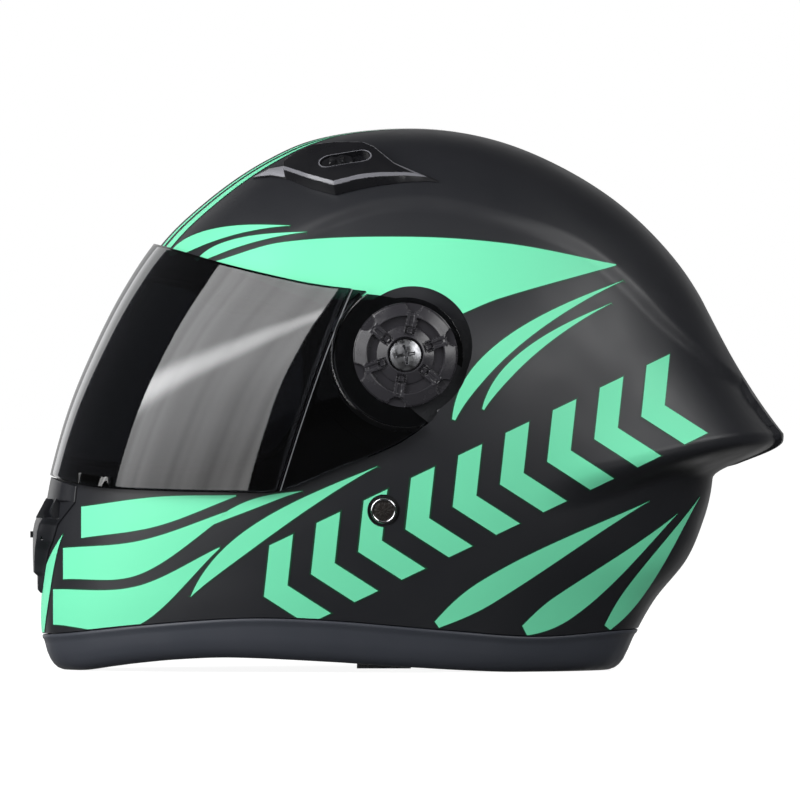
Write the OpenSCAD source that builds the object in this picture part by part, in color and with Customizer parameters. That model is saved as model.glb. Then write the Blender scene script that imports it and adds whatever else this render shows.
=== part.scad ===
// Full face motorcycle helmet with a hinged smoked visor, roof scoops, a chin vent
// and a short tail. Units are millimetres. The front faces -X, the wearer's left is
// -Y, +Z is up, and the rest plane of the rim is Z = 0.

/* [Shell] */
// Height from the table to the crown
helmet_h = 262; // [254:1:270]
// Length of the shell from the chin to the nape, without the tail
shell_l = 328.8; // [318:0.2:338]
// Width across the shell
shell_w = 250; // [244:1:258]
// Wall of the outer shell
shell_t = 4; // [3:0.25:4.5]
// How far the tail stands out behind the shell
tail_out = 31; // [24:1:34]
// Height of the soft ridge between the crown and the side panel
ridge_out = 3; // [2:0.25:4]

/* [Rim moulding] */
// Thickness of the rim moulding at its foot
rim_t = 9; // [8:0.5:10]
// How far its inner tongue reaches up behind the shell
tongue_h = 7; // [5:0.5:8]
// Thickness of that tongue
tongue_t = 2.4; // [2:0.2:2.6]

/* [Visor] */
// Thickness of the visor
visor_t = 2.4; // [2:0.1:2.6]
// Gap between the visor and the shell
visor_gap = 1; // [0.9:0.05:1.2]
// Radius of the round end of the visor at each pivot
visor_end_r = 27.5; // [26.5:0.25:28.5]
// Length of the lifting tab at the visor's lower edge
tab_l = 14; // [10:1:18]
// How far the lifting tab stands out
tab_out = 3.5; // [2.5:0.5:5]

/* [Visor pivot] */
// Distance of the pivot axis behind the origin
pivot_x = -1; // [-3:0.5:1]
// Height of the pivot axis
pivot_z = 152; // [150:0.5:154]
// Depth of the pocket floor below the widest point of the shell
pocket_d = 10; // [9.4:0.2:10.4]
// Radius of the pocket round the pivot
pocket_r = 30.5; // [30:0.25:31.5]
// Thickness of the pocket's floor
floor_t = 4; // [3:0.5:5]
// Width of the pocket's wall
wall_w = 4; // [3:0.5:5]
// Radius of the base plate
plate_r = 24; // [22:0.5:25]
// Thickness of the base plate
plate_t = 2.2; // [1.8:0.1:2.4]
// Radius of the boss that the visor turns on
boss_r = 9; // [8:0.25:10]
// Radial clearance of the visor on the boss
turn_gap = 0.08; // [0.05:0.01:0.1]
// Face clearance on each side of the visor's round end
face_gap = 0.3; // [0.2:0.05:0.4]
// Radius of the side cover
hub_r = 25; // [24:0.25:26]
// Thickness of the side cover
hub_t = 6.2; // [5.5:0.1:7]
// Radius of the pivot screw's head
screw_head_r = 7.8; // [7:0.1:8.4]
// Thickness of the pivot screw's head
screw_head_t = 2.6; // [2.2:0.1:3]
// Radius of the pivot screw's shank
screw_r = 2.5; // [2:0.1:3]
// Radius of each small screw that holds the base plate
plate_screw_r = 1.5; // [1.2:0.1:1.8]
// Circle on which the base plate's screws stand
plate_screw_ring = 16; // [14.5:0.5:17.5]

/* [Lining] */
// Gap between layers that sit against each other
layer_gap = 0.4; // [0.3:0.05:0.5]
// Thickness of the impact liner
liner_t = 32; // [28:1:34]
// Thickness of the crown pad
crown_pad_t = 8.5; // [7:0.5:10]
// Thickness of each cheek pad
cheek_t = 28; // [24:1:30]
// Thickness of the neck roll
neck_t = 22; // [18:1:24]
// Thickness of the chin liner
chin_t = 17; // [14:1:19]
// Thickness of the breath guard
guard_t = 2; // [1.5:0.25:2.5]
// Radius of each press stud behind the cheek pads
stud_r = 5; // [4:0.5:6]

/* [Eyeport gasket] */
// Width of the gasket from the shell's edge into the eyeport
gasket_w = 3; // [2.5:0.25:4]
// How far the gasket stands above the shell
gasket_up = 0.3; // [0.2:0.05:0.5]

/* [Roof scoops] */
// Height of each scoop above the shell
scoop_h = 6.6; // [6:0.2:7.4]
// Length of the slider's slot
slot_l = 25; // [24:0.5:27]
// Width of the slider's slot
slot_w = 10; // [9:0.5:11]
// Length of the slider
slider_l = 16; // [14:0.5:17]
// Thickness of the slider
slider_t = 1.8; // [1.5:0.1:2]
// Clearance round each slider
slide_gap = 0.3; // [0.2:0.05:0.4]
// Radius of the air hole under each slider
air_r = 3.2; // [2.6:0.2:3.6]

/* [Chin vent] */
// Width of the chin vent's cover
cover_w = 96; // [90:2:104]
// How far the cover stands out
cover_out = 6; // [5.4:0.2:7]
// Width of the air slot
air_slot_w = 44; // [36:2:46]
// Height of the air slot
air_slot_h = 7; // [6:0.5:7.5]
// Height of the air slot's middle
air_slot_z = 77; // [76:0.5:78]
// Thickness of the shutter
shutter_t = 1.5; // [1.2:0.1:1.7]
// Travel of the shutter
shutter_travel = 9; // [8.5:0.25:9.5]
// Thickness of the mesh behind the slot
mesh_t = 1; // [0.8:0.1:1.4]

/* [Chin strap] */
// Width of the webbing
strap_w = 25; // [22:1:27]
// Thickness of the webbing
strap_t = 1.8; // [1.5:0.1:2]
// Place of the strap along the helmet
strap_x = -11.4; // [-13:0.2:-9]
// Height of the strap's rivets
rivet_z = 77.6; // [75:0.5:80]
// Radius of each rivet's head
rivet_r = 6.2; // [5.6:0.1:7]
// Thickness of each rivet's head
rivet_t = 2.2; // [1.8:0.1:2.6]
// Radius of each rivet's shank
shank_r = 2.4; // [2:0.1:3]
// Length of the buckle's frame
buckle_l = 40; // [36:1:44]
// Sheet thickness of the buckle
buckle_t = 1.5; // [1.2:0.1:1.8]
// Height of the buckle's cheeks
buckle_h = 9; // [8.5:0.5:10]
// Radius of the buckle's pin
pin_r = 1.5; // [1.2:0.1:1.6]

/* [Hidden] */

// Outlines of the plain shell: height, then the place of its front, its back,
// its half width and the middle of its plan
front_rows = [[262, 2], [256.8, -43.7], [247, -67.4], [227.7, -96], [208.3, -116.9], [184, -133.8],
  [155, -148.8], [126, -160.8], [97, -169.2], [80, -172.3], [50, -176], [20, -177.3], [0, -172]];
rear_rows = [[262, 2], [256.8, 41.2], [247, 67.4], [227.7, 99.9], [208.3, 121.3], [188.9, 136.8],
  [169.5, 147], [145, 151.5], [115, 151.5], [92, 149], [72.5, 143.6], [53, 135.2], [33.7, 119.8],
  [14.3, 109], [0, 103]];
half_rows = [[262, 0], [256.8, 40], [247, 63], [227.7, 88], [208, 103.5], [184, 115.6], [165, 122],
  [145, 125], [120, 124.8], [97, 122.8], [70, 118.6], [40, 111], [20, 105], [0, 99]];
mid_rows = [[262, 2], [247, 6], [208, 10], [0, 10]];
plan_n = 2.15;
// Factors that fit these outlines, and all that is placed by them, to the shell's own sizes
kx = shell_l / (rear_rows[7][1] - front_rows[11][1]);
ky = shell_w / (2 * half_rows[7][1]);
kz = helmet_h / half_rows[0][0];

// Lower and upper edge of the rim moulding, as place along the helmet and height
rim_low = [[-200, 0], [-150, 0], [-125, 4.4], [-87, 6.8], [-38, 4.8], [-4, 2.6], [31, 0.8], [58, 0], [200, 0]];
rim_high = [[-200, 17.5], [-176, 17.5], [-126, 22.8], [-78, 26.2], [-38, 25.2], [20, 20.4], [64, 17.4],
  [109, 20], [200, 20]];

// Line of the ridge on the side, as place along the helmet and height
ridge_line = [[-70, 207], [-20, 225.5], [10, 228.5], [38, 223], [81, 209], [106, 190], [125, 170], [160, 130]];

// Edge of the eyeport behind its two points on the middle plane
eye_top_z = 192;
eye_low_z = 102.5;
eye_rows = [[-105, 187], [-84, 181.5], [-66, 176], [-53, 168], [-48, 156], [-47, 142], [-49, 126],
  [-56, 111.5], [-67, 101.5], [-86, 97.3], [-112, 96.4], [-142, 97.6], [-160, 99.8]];

// Upper and lower edge of the visor on the side
visor_top = [[-150, 210.6], [-122.5, 204.7], [-86, 194], [-52, 185.8], [-37.6, 183.3], [-26, 181.9],
  [-6.5, 179.2], [3, 175], [12, 158]];
visor_low = [[-176, 95.5], [-159, 90.2], [-141, 87.8], [-80, 86.6], [-60, 87.4], [-37.6, 96.5],
  [-3.6, 111], [12, 122]];
// Line where the visor's flat side panel starts, at its upper and lower edge
step_top_x = -26;
step_low_x = -60;

function sx(v) = v * kx;
function sz(v) = v * kz;
function mix(a, b, u) = a + (b - a) * u;
function smooth(u) = let (v = min(1, max(0, u))) v * v * (3 - 2 * v);
function unit(v) = v / norm(v);

// Cubic curve through rows of [place, value]
function span_of(rows, u, i = 0) = (i >= len(rows) - 2 || u < rows[i + 1][0]) ? i : span_of(rows, u, i + 1);
function slope_at(rows, i) = let (a = rows[max(0, i - 1)], b = rows[min(len(rows) - 1, i + 1)])
  (b[1] - a[1]) / (b[0] - a[0]);
function curve(rows, u) = let (i = span_of(rows, u), a = rows[i], b = rows[i + 1], h = b[0] - a[0],
  s = (u - a[0]) / h, m = slope_at(rows, i) * h, n = slope_at(rows, i + 1) * h)
  (2*s*s*s - 3*s*s + 1) * a[1] + (s*s*s - 2*s*s + s) * m + (3*s*s - 2*s*s*s) * b[1] + (s*s*s - s*s) * n;
// Cubic curve through points, one unit of u for each
function along(pts, u) = let (n = len(pts) - 1, i = min(n - 1, floor(u)), s = u - i, a = pts[i], b = pts[i + 1],
  m = (b - pts[max(0, i - 1)]) / (i > 0 ? 2 : 1), k = (pts[min(n, i + 2)] - a) / (i < n - 1 ? 2 : 1))
  (2*s*s*s - 3*s*s + 1) * a + (s*s*s - 2*s*s + s) * m + (3*s*s - 2*s*s*s) * b + (s*s*s - s*s) * k;

// The tables above, by depth below the crown, so that the crown is round
function depth(z) = sqrt(max(0, 1 - z / helmet_h));
function by_depth(rows, k) = [for (r = rows) [depth(sz(r[0])), r[1] * k]];
front_t = by_depth(front_rows, kx);
rear_t = by_depth(rear_rows, kx);
half_t = by_depth(half_rows, ky);
mid_t = by_depth(mid_rows, kx);
function placed(rows) = [for (r = rows) [sx(r[0]), sz(r[1])]];
low_line = placed(rim_low);
high_line = placed(rim_high);
ridge = placed(ridge_line);
top_line = placed(visor_top);
under_line = placed(visor_low);

// Plain surface: the point at plan angle a (0 front, 90 left side) and depth t
function base(a, t) = let (c = cos(a), s = sin(a), xc = curve(mid_t, t),
  reach = c > 0 ? xc - curve(front_t, t) : curve(rear_t, t) - xc)
  [xc - sign(c) * reach * pow(abs(c), 2 / plan_n), -curve(half_t, t) * sign(s) * pow(abs(s), 2 / plan_n),
   helmet_h * (1 - t * t)];
// Half width of the plain surface at a place and height
function side_y(x, z) = let (t = depth(z), xc = curve(mid_t, t),
  reach = x < xc ? xc - curve(front_t, t) : curve(rear_t, t) - xc)
  curve(half_t, t) * pow(max(0, 1 - pow(min(1, abs(x - xc) / reach), plan_n)), 1 / plan_n);
// Place of the plain surface's front at a height, and at a distance from the middle
function front_x(z, y = 0) = let (t = depth(z), xc = curve(mid_t, t))
  xc - (xc - curve(front_t, t)) * pow(max(0, 1 - pow(abs(y) / curve(half_t, t), plan_n)), 1 / plan_n);
// Outward normal of the plain surface at a point on it
function level(p) = let (t = depth(p[2]), xc = curve(mid_t, t),
  reach = p[0] < xc ? xc - curve(front_t, t) : curve(rear_t, t) - xc)
  pow(abs(p[0] - xc) / reach, plan_n) + pow(abs(p[1]) / curve(half_t, t), plan_n);
function normal(p, e = 0.6) = p[2] > helmet_h - 0.2 ? [0, 0, 1] :
  unit([level(p + [e, 0, 0]) - level(p - [e, 0, 0]), level(p + [0, e, 0]) - level(p - [0, e, 0]),
        level([p[0], p[1], min(helmet_h - 0.01, p[2] + e)]) - level(p - [0, 0, e])]);
function lift(p, d) = p + d * normal(p);
function on_side(x, z, d) = lift([x, -side_y(x, z), z], d);
function on_front(y, z, d) = lift([front_x(z, y), y, z], d);

// Tail and ridge, as a distance out from the plain surface
function tail(a, z) = let (q = a > 180 ? 360 - a : a, k = smooth((q - 108) / 44), low = sz(84 + 18 * k),
  top = low + 12)
  tail_out * k * (z < top ? smooth((z - low + 9.5) / 18.5) : pow(max(0, (sz(176) - z) / (sz(176) - top)), 1.7));
function crest(x, z) = x < ridge[0][0] || x > sx(150) ? 0 : let (d = curve(ridge, x) - z)
  ridge_out * smooth(d / 9) * (1 - smooth((d - 15) / 60)) * smooth((x - ridge[0][0]) / 35);
function swollen(a, t, tailed) = let (p = base(a, t), m = [curve(mid_t, t), 0], r = norm([p[0] - m[0], p[1]]),
  k = r < 1 ? 1 : 1 + ((tailed ? tail(a, p[2]) : 0) - crest(p[0], p[2])) / r)
  [m[0] + (p[0] - m[0]) * k, p[1] * k, p[2]];
function outside(a, t) = swollen(a, t, true);
// Point of a layer inside the shell, at a distance in from its face
function inset(a, t, d) = swollen(a, t, false) - d * normal(base(a, t));

// Seats that several pieces share
function rim_place(a) = base(a, depth(sz(20)))[0];
function rim_top(a) = curve(high_line, rim_place(a));
function rim_foot(a) = curve(low_line, rim_place(a));
axis_x = sx(pivot_x);
axis_z = sz(pivot_z);
side_w = side_y(axis_x, axis_z);
floor_w = side_w - pocket_d;
plate_w = floor_w + plate_t;
flat_w = plate_w + face_gap;
hub_w = flat_w + visor_t + face_gap;
strap_place = sx(strap_x);
rivet_place = sz(rivet_z);
seam = 0.4;

// Eyeport edge on the side, from its upper to its lower point on the middle plane
eye_pts = concat([[front_x(sz(eye_top_z)), sz(eye_top_z)]], placed(eye_rows),
  [[front_x(sz(eye_low_z)), sz(eye_low_z)]]);
eye_steps = 44;
function eye_at(k) = let (u = k / eye_steps, w = u < 0.5 ? 2*u*u : 1 - 2*(1 - u)*(1 - u))
  along(eye_pts, (len(eye_pts) - 1) * w);

// Closed solid between two grids of points, each a function of u and v from 0 to 1,
// with u to the right and v up as the outer grid is seen from outside
module slab(nu, nv, outer, inner) {
  m = nv + 1;
  count = (nu + 1) * m;
  function quad(a, b, c, d) = [[a, b, c], [a, c, d]];
  points = concat([for (i = [0:nu]) for (j = [0:nv]) outer(i / nu, j / nv)],
                  [for (i = [0:nu]) for (j = [0:nv]) inner(i / nu, j / nv)]);
  skins = [for (i = [0:nu - 1]) for (j = [0:nv - 1]) let (a = i * m + j)
    each concat(quad(a, a + 1, a + m + 1, a + m), quad(count + a, count + a + m, count + a + m + 1, count + a + 1))];
  ends = [for (i = [0:nu - 1]) let (a = i * m, b = a + nv)
    each concat(quad(a, a + m, count + a + m, count + a), quad(b + m, b, count + b, count + b + m))];
  sides = [for (j = [0:nv - 1]) let (a = j, b = nu * m + j)
    each concat(quad(a + 1, a, count + a, count + a + 1), quad(b, b + 1, count + b + 1, count + b))];
  polyhedron(concat(points), concat(skins, ends, sides), convexity = 8);
}

// Closed solid through rings of points; the ring of rings closes on itself when loop is true
module loft(rings, loop = false) {
  n = len(rings);
  m = len(rings[0]);
  last = loop ? n - 1 : n - 2;
  walls = [for (i = [0:last]) for (j = [0:m - 1]) let (k = (i + 1) % n, l = (j + 1) % m)
    each [[i * m + j, k * m + l, k * m + j], [i * m + j, i * m + l, k * m + l]]];
  caps = loop ? [] : [[for (j = [m - 1:-1:0]) j], [for (j = [0:m - 1]) (n - 1) * m + j]];
  polyhedron([for (r = rings) each r], concat(walls, caps), convexity = 8);
}

// Dome from a rim line up to the crown; skin(a, s) gives its point at plan angle a, s from 0 to 1
module dome(na, nv, skin, foot) {
  ring = [for (i = [0:nv - 1]) for (j = [0:na - 1]) skin(360 * j / na, i / nv)];
  n = na * nv;
  walls = [for (i = [0:nv - 2]) for (j = [0:na - 1]) let (k = (j + 1) % na, a = i * na)
    each [[a + j, a + na + k, a + k], [a + j, a + na + j, a + na + k]]];
  caps = [for (j = [0:na - 1]) let (k = (j + 1) % na, a = (nv - 1) * na) each [[a + j, n, a + k], [j, k, n + 1]]];
  polyhedron(concat(ring, [skin(0, 1), foot]), concat(walls, caps), convexity = 8);
}

// Bowl with a wall, from the same kind of skins
module bowl(na, nv, outer, inner) {
  n = na * nv;
  points = concat([for (i = [0:nv - 1]) for (j = [0:na - 1]) outer(360 * j / na, i / nv)],
                  [for (i = [0:nv - 1]) for (j = [0:na - 1]) inner(360 * j / na, i / nv)], [outer(0, 1), inner(0, 1)]);
  walls = [for (i = [0:nv - 2]) for (j = [0:na - 1]) let (k = (j + 1) % na, a = i * na)
    each [[a + j, a + na + k, a + k], [a + j, a + na + j, a + na + k],
          [n + a + j, n + a + k, n + a + na + k], [n + a + j, n + a + na + k, n + a + na + j]]];
  caps = [for (j = [0:na - 1]) let (k = (j + 1) % na, a = (nv - 1) * na)
    each [[a + j, 2 * n, a + k], [n + a + j, n + a + k, 2 * n + 1], [j, k, n + k], [j, n + k, n + j]]];
  polyhedron(points, concat(walls, caps), convexity = 8);
}

module both() {
  children();
  mirror([0, 1, 0]) children();
}
// A child drawn along +Z from the middle plane's side: +Z becomes the way out on the left
module at_side(x, z, w) {
  translate([x, -w, z]) rotate([90, 0, 0]) children();
}

// Frame of a place on the left side: +Z points out of the shell and +X runs back
module on_shell(x, z) {
  p = on_side(x, z, 0);
  n = normal(p);
  t = unit([1, 0, 0] - n * n[0]);
  b = cross(n, t);
  multmatrix([[t[0], b[0], n[0], p[0]], [t[1], b[1], n[1], p[1]], [t[2], b[2], n[2], p[2]], [0, 0, 0, 1]]) children();
}
module stadium(l, w, h) {
  cube_l = l - w;
  translate([-cube_l / 2, -w / 2, 0]) cube([cube_l, w, h]);
  for (s = [-1, 1]) translate([s * cube_l / 2, 0, 0]) cylinder(r = w / 2, h = h, $fn = 32);
}

// Depth at a share s of the way from a height to the crown
function rise(z, s) = depth(z) * (1 - pow(s, row_bias));
row_bias = 1.28;
shell_na = 64;
shell_nv = 20;
module shell_outside() {
  dome(shell_na, shell_nv, function(a, s) outside(a, rise(rim_top(a), s)), [0, 0, sz(21)]);
}
module shell_inside() {
  dome(shell_na, shell_nv, function(a, s) let (t = rise(rim_top(a) - 6, s))
    outside(a, t) - shell_t * normal(base(a, t)), [0, 0, sz(6)]);
}

// Pocket for the visor's round end, for the panel that dips to it and for the corner below, grown by g
module pocket_outline(g, w) {
  corner = [sx(-20), sx(-12), sx(-4), sx(4), sx(12)];
  dip = flat_r[1] + dip_more + g;
  at_side(axis_x, axis_z, w) {
    cylinder(r = pocket_r + g, h = 40, $fn = 96);
    translate([swing_shift, swing_shift * 1.2, 0]) cylinder(r = pocket_r - 2 + g, h = 40, $fn = 96);
    intersection() {
      cylinder(r = dip, h = 40, $fn = 96);
      translate([-dip - 1, -dip - 1, -1]) cube([dip + 3, dip + dip_top + g, 60]);
    }
  }
  translate([0, -w, 0]) rotate([90, 0, 0]) linear_extrude(40)
    polygon(concat([for (x = corner) [x + (x < axis_x ? -g : g) * 0.6, curve(under_line, x) - edge_gap - g]],
      [[sx(13) + g + edge_gap, sz(124)], [axis_x + 10, axis_z], [sx(-20) - g, axis_z - 8]]));
}
swing_shift = 3.4;
dip_more = 5.6;
dip_top = 27;
edge_gap = 1.2;

// Outline of the eyeport on the side, open at the front
module eyeport_cut() {
  rotate([90, 0, 0]) linear_extrude(2 * shell_w, center = true)
    polygon(concat([[sx(-230), sz(eye_top_z) + 20]], [for (k = [0:eye_steps]) eye_at(k)],
      [[sx(-230), sz(eye_low_z) + 8]]));
}

module outer_shell() {
  color("#2b2c31") difference() {
    shell_outside();
    difference() {
      shell_inside();
      both() pocket_outline(wall_w, floor_w - floor_t);
    }
    eyeport_cut();
    both() {
      pocket_outline(0, floor_w);
      at_side(axis_x, axis_z, floor_w - 20) cylinder(r = screw_r + 0.1, h = 40, $fn = 32);
      plate_screw_places() translate([0, 0, -plate_screw_in - 0.2]) cylinder(r = plate_screw_r, h = 10, $fn = 24);
      on_shell(strap_place, rivet_place) {
        translate([0, 0, -20]) cylinder(r = shank_r + 0.1, h = 40, $fn = 32);
        translate([0, 0, -rivet_sink]) cylinder(r = rivet_r + rivet_ring, h = 20, $fn = 48);
      }
      on_shell(scoop_x, scoop_z) translate([air_x, 0, -20]) cylinder(r = air_r, h = 40, $fn = 32);
    }
    air_slot(0);
    shutter_pocket();
  }
}
rivet_sink = 1.2;
rivet_ring = 1.8;

plate_screw_in = 3.4;
plate_head_r = 2.7;
// Places of the screws of one base plate, in the plane of the pocket's floor
module plate_screw_places() {
  at_side(axis_x, axis_z, floor_w)
    for (a = [30, 150, 270]) rotate([0, 0, a]) translate([plate_screw_ring, 0, 0]) children();
}

// Rim moulding: a point of its section at plan angle a, a distance in from the shell and a height
function rim_point(a, d, z) = let (p = base(a, depth(z)), n = normal(p), k = norm([n[0], n[1]]))
  p - d / (k * k) * [n[0], n[1], 0];
function rim_ring(a) = let (top = rim_top(a), foot = max(0, rim_foot(a)), in = shell_t + seam, tongue = in + tongue_t)
  [for (q = [[0, top - seam], [-0.4, top - 3], [-0.2, mix(foot, top, 0.5)], [1.2, foot + 3], [3, foot + 0.8],
             [4.6, foot], [rim_t - 1.6, foot], [rim_t, foot + 2.2], [rim_t - 0.8, top - 5], [tongue, top - 2],
             [tongue, top + tongue_h], [in, top + tongue_h], [in, top - seam]]) rim_point(a, q[0], q[1])];
module edge_trim() {
  color("#3b3d44") loft([for (i = [shell_na:-1:1]) rim_ring(360 * i / shell_na)], true);
}

// Gasket: its section at step k of the eyeport's edge, on the left side
function eye_point(k) = let (q = eye_at(k)) [q[0], -side_y(q[0], q[1]), q[1]];
function eye_way(k) = k == 0 ? [0, -1, 0] : k == eye_steps ? [0, 1, 0] : unit(eye_point(k + 0.4) - eye_point(k - 0.4));
// Way into the eyeport from its edge, square to the cut wall, and the way out along that wall
function eye_in(k) = let (d = eye_at(min(eye_steps, k + 0.4)) - eye_at(max(0, k - 0.4)))
  unit([d[1], 0, -d[0]]);
function eye_out(k) = let (w = unit(cross(eye_way(k), eye_in(k))))
  w * normal(eye_point(k)) > 0 ? w : -w;
function gasket_ring(k) = let (p = eye_point(k), m = eye_in(k), w = eye_out(k))
  [for (q = [[0.5, -shell_t - 1], [gasket_w, -shell_t - 1], [gasket_w, gasket_up * 0.4], [0.5, gasket_up]])
    p + q[0] * m + q[1] * w];
function mirrored(ring) = [for (p = ring) [p[0], -p[1], p[2]]];
module eyeport_gasket() {
  color("#1b1b1d") loft(concat([for (k = [0:eye_steps]) gasket_ring(k)],
    [for (k = [eye_steps - 1:-1:1]) mirrored(gasket_ring(k))]), true);
}

// Lower edge of the impact liner, as plan angle and height
liner_low = [[0, 198], [45, 190], [62, 180], [75, 167], [84, 140], [90, 119], [100, 112], [115, 92],
  [130, 80], [180, 76]];
function liner_foot(a) = sz(curve(liner_low, a > 180 ? 360 - a : a));
module liner_bowl(out, in) {
  bowl(44, 12, function(a, s) inset(a, rise(liner_foot(a), s), out),
    function(a, s) inset(a, rise(liner_foot(a), s), in));
}
module impact_liner() {
  color("#26272b") difference() {
    liner_bowl(liner_out, liner_in);
    both() {
      pocket_outline(wall_w + layer_gap, floor_w - floor_t - layer_gap);
      at_side(axis_x, axis_z, floor_w - 20) cylinder(r = nut_r + 1.5, h = 40, $fn = 32);
      on_shell(scoop_x, scoop_z) translate([air_x, 0, -60]) cylinder(r = air_r + 1, h = 80, $fn = 32);
    }
  }
}
// Room for the flat facets of one layer inside the round of the next
facet_gap = 0.95;
liner_out = shell_t + layer_gap + facet_gap;
liner_in = liner_out + liner_t;
module crown_pad() {
  color("#1d1e20") liner_bowl(liner_in + layer_gap, liner_in + layer_gap + crown_pad_t);
}

// Cushion on the shell's inner side between two plan angles, with a full middle and drawn-in edges
function puff(u, v) = (1 - pow(abs(2 * u - 1), 4)) * (1 - pow(abs(2 * v - 1), 4));
edge_share = 0.3;
module cushion(a0, a1, low, high, d, thick, nu, nv) {
  function at(u, v, e) = let (a = mix(a0, a1, u)) inset(a, depth(sz(mix(low(a), high(a), v))), e);
  slab(nu, nv, function(u, v) at(u, v, d), function(u, v) at(u, v, d + thick * mix(edge_share, 1, puff(u, v))));
}
cheek_d = shell_t + 5.6;
cheek_low = 32;
cheek_top = [[48, 84], [60, 95], [75, 104], [90, 106], [103, 98]];
module cheek_pad() {
  color("#1d1e20") difference() {
    cushion(48, 103, function(a) cheek_low, function(a) lookup(a, cheek_top), cheek_d, cheek_t, 12, 9);
    pocket_outline(wall_w + layer_gap, floor_w - floor_t - layer_gap);
  }
}
module cheek_pad_left() cheek_pad();
module cheek_pad_right() mirror([0, 1, 0]) cheek_pad();
stud_places = [[-82, 45], [-70, 78], [26, 62]];
module cheek_pad_studs() {
  color("#8b8d92") both() for (q = stud_places)
    on_shell(sx(q[0]), sz(q[1])) translate([0, 0, -cheek_d + 0.2])
      cylinder(r = stud_r, h = cheek_d - shell_t - 0.7, $fn = 32);
}
neck_low = 24;
neck_top = 62;
module neck_roll() {
  color("#1d1e20") cushion(111, 249, function(a) neck_low, function(a) neck_top, shell_t + seam + tongue_t + 0.6,
    neck_t, 20, 8);
}
chin_low = 33;
chin_top = 88;
module chin_liner() {
  color("#26272b") difference() {
    cushion(-42, 42, function(a) chin_low, function(a) chin_top, liner_out, chin_t, 18, 8);
    air_slot(2.5);
  }
}
module breath_guard() {
  d = liner_out + chin_t + 0.3;
  function at(u, v, e) = inset(mix(-24, 24, u), depth(sz(mix(62, 108 - 10 * pow(2 * u - 1, 2), v))), e);
  color("#202124") slab(12, 4, function(u, v) at(u, v, d), function(u, v) at(u, v, d + guard_t));
}

// Visor pivot, drawn on the left: base plate with its boss, screws, side cover
module base_plate() {
  color("#232427") difference() {
    at_side(axis_x, axis_z, floor_w) {
      cylinder(r = plate_r, h = plate_t, $fn = 64);
      cylinder(r = boss_r, h = hub_w - floor_w, $fn = 64);
    }
    at_side(axis_x, axis_z, floor_w - 1) cylinder(r = screw_r + 0.1, h = 20, $fn = 32);
    plate_screw_places() {
      translate([0, 0, -1]) cylinder(r = plate_screw_r + 0.1, h = 10, $fn = 24);
      translate([0, 0, plate_t - 1.3]) cylinder(r = plate_head_r + 0.2, h = 5, $fn = 32);
    }
  }
}
module base_plate_left() base_plate();
module base_plate_right() mirror([0, 1, 0]) base_plate();
module base_plate_screws() {
  color("#a9abaf") both() plate_screw_places() difference() {
    union() {
      translate([0, 0, -plate_screw_in]) cylinder(r = plate_screw_r, h = plate_screw_in + plate_t - 1, $fn = 24);
      translate([0, 0, plate_t - 1.3]) cylinder(r = plate_head_r, h = 1.2, $fn = 32);
    }
    translate([-2, -0.4, plate_t - 0.6]) cube([4, 0.8, 2]);
  }
}
nut_r = 6;
nut_t = 4;
module pivot_nuts() {
  color("#a9abaf") both() at_side(axis_x, axis_z, floor_w - floor_t - nut_t) difference() {
    cylinder(r = nut_r, h = nut_t, $fn = 6);
    translate([0, 0, -1]) cylinder(r = screw_r + 0.1, h = nut_t + 2, $fn = 32);
  }
}
head_seat = hub_t - screw_head_t - 0.7;
screw_in = hub_w - floor_w + floor_t + nut_t;
module pivot_screw() {
  color("#b9bbc0") at_side(axis_x, axis_z, hub_w) difference() {
    union() {
      translate([0, 0, -screw_in]) cylinder(r = screw_r, h = screw_in + head_seat, $fn = 32);
      translate([0, 0, head_seat]) rotate_extrude($fn = 64)
        polygon([[0, 0], [screw_head_r, 0], [screw_head_r, screw_head_t - 0.8],
          [screw_head_r - 0.8, screw_head_t], [0, screw_head_t]]);
    }
    for (a = [45, 135]) rotate([0, 0, a]) translate([-4.5, -0.75, head_seat + screw_head_t - 1.3]) cube([9, 1.5, 3]);
  }
}
module pivot_screw_left() pivot_screw();
module pivot_screw_right() mirror([0, 1, 0]) pivot_screw();
module side_cover() {
  color("#3a3b3f") at_side(axis_x, axis_z, hub_w) difference() {
    rotate_extrude($fn = 96) polygon([[screw_r + 0.1, 0], [hub_r, 0], [hub_r, hub_t - 2.6], [hub_r - 1.6, hub_t - 0.9],
      [hub_r - 4, hub_t - 0.6], [hub_r - 6.5, hub_t - 0.4], [hub_r - 7, hub_t - 1.8], [hub_r - 10.5, hub_t - 1.8],
      [hub_r - 11, hub_t], [screw_head_r + 1.2, hub_t], [screw_head_r + 0.4, hub_t - 0.6], [screw_head_r + 0.4, head_seat],
      [screw_r + 0.1, head_seat]]);
    for (a = [0:60:300]) rotate([0, 0, a + 18]) translate([hub_r - 5.2, -1.6, hub_t - 1.6]) cube([8, 3.2, 4]);
    for (a = [0:120:240]) rotate([0, 0, a + 50])
      translate([screw_head_r + 1.6, -1.3, hub_t - 1.2]) cube([4.4, 2.6, 4]);
  }
}
module side_cover_left() side_cover();
module side_cover_right() mirror([0, 1, 0]) side_cover();

// Visor: height of a row v between its edges, and where the row meets the middle plane
function visor_z(x, v) = mix(curve(under_line, x), curve(top_line, x), v);
function visor_nose(v, k = 5) = k == 0 ? sx(mix(-170, -122, v)) : front_x(visor_z(visor_nose(v, k - 1), v));
function step_x(v) = sx(mix(step_low_x, step_top_x, v));
nose_cols = 13;
panel_cols = 10;
visor_rows = 9;
panel_step = 1.2;
panel_lift = 0.4;
flat_r = [33.5, 41.5];
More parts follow.
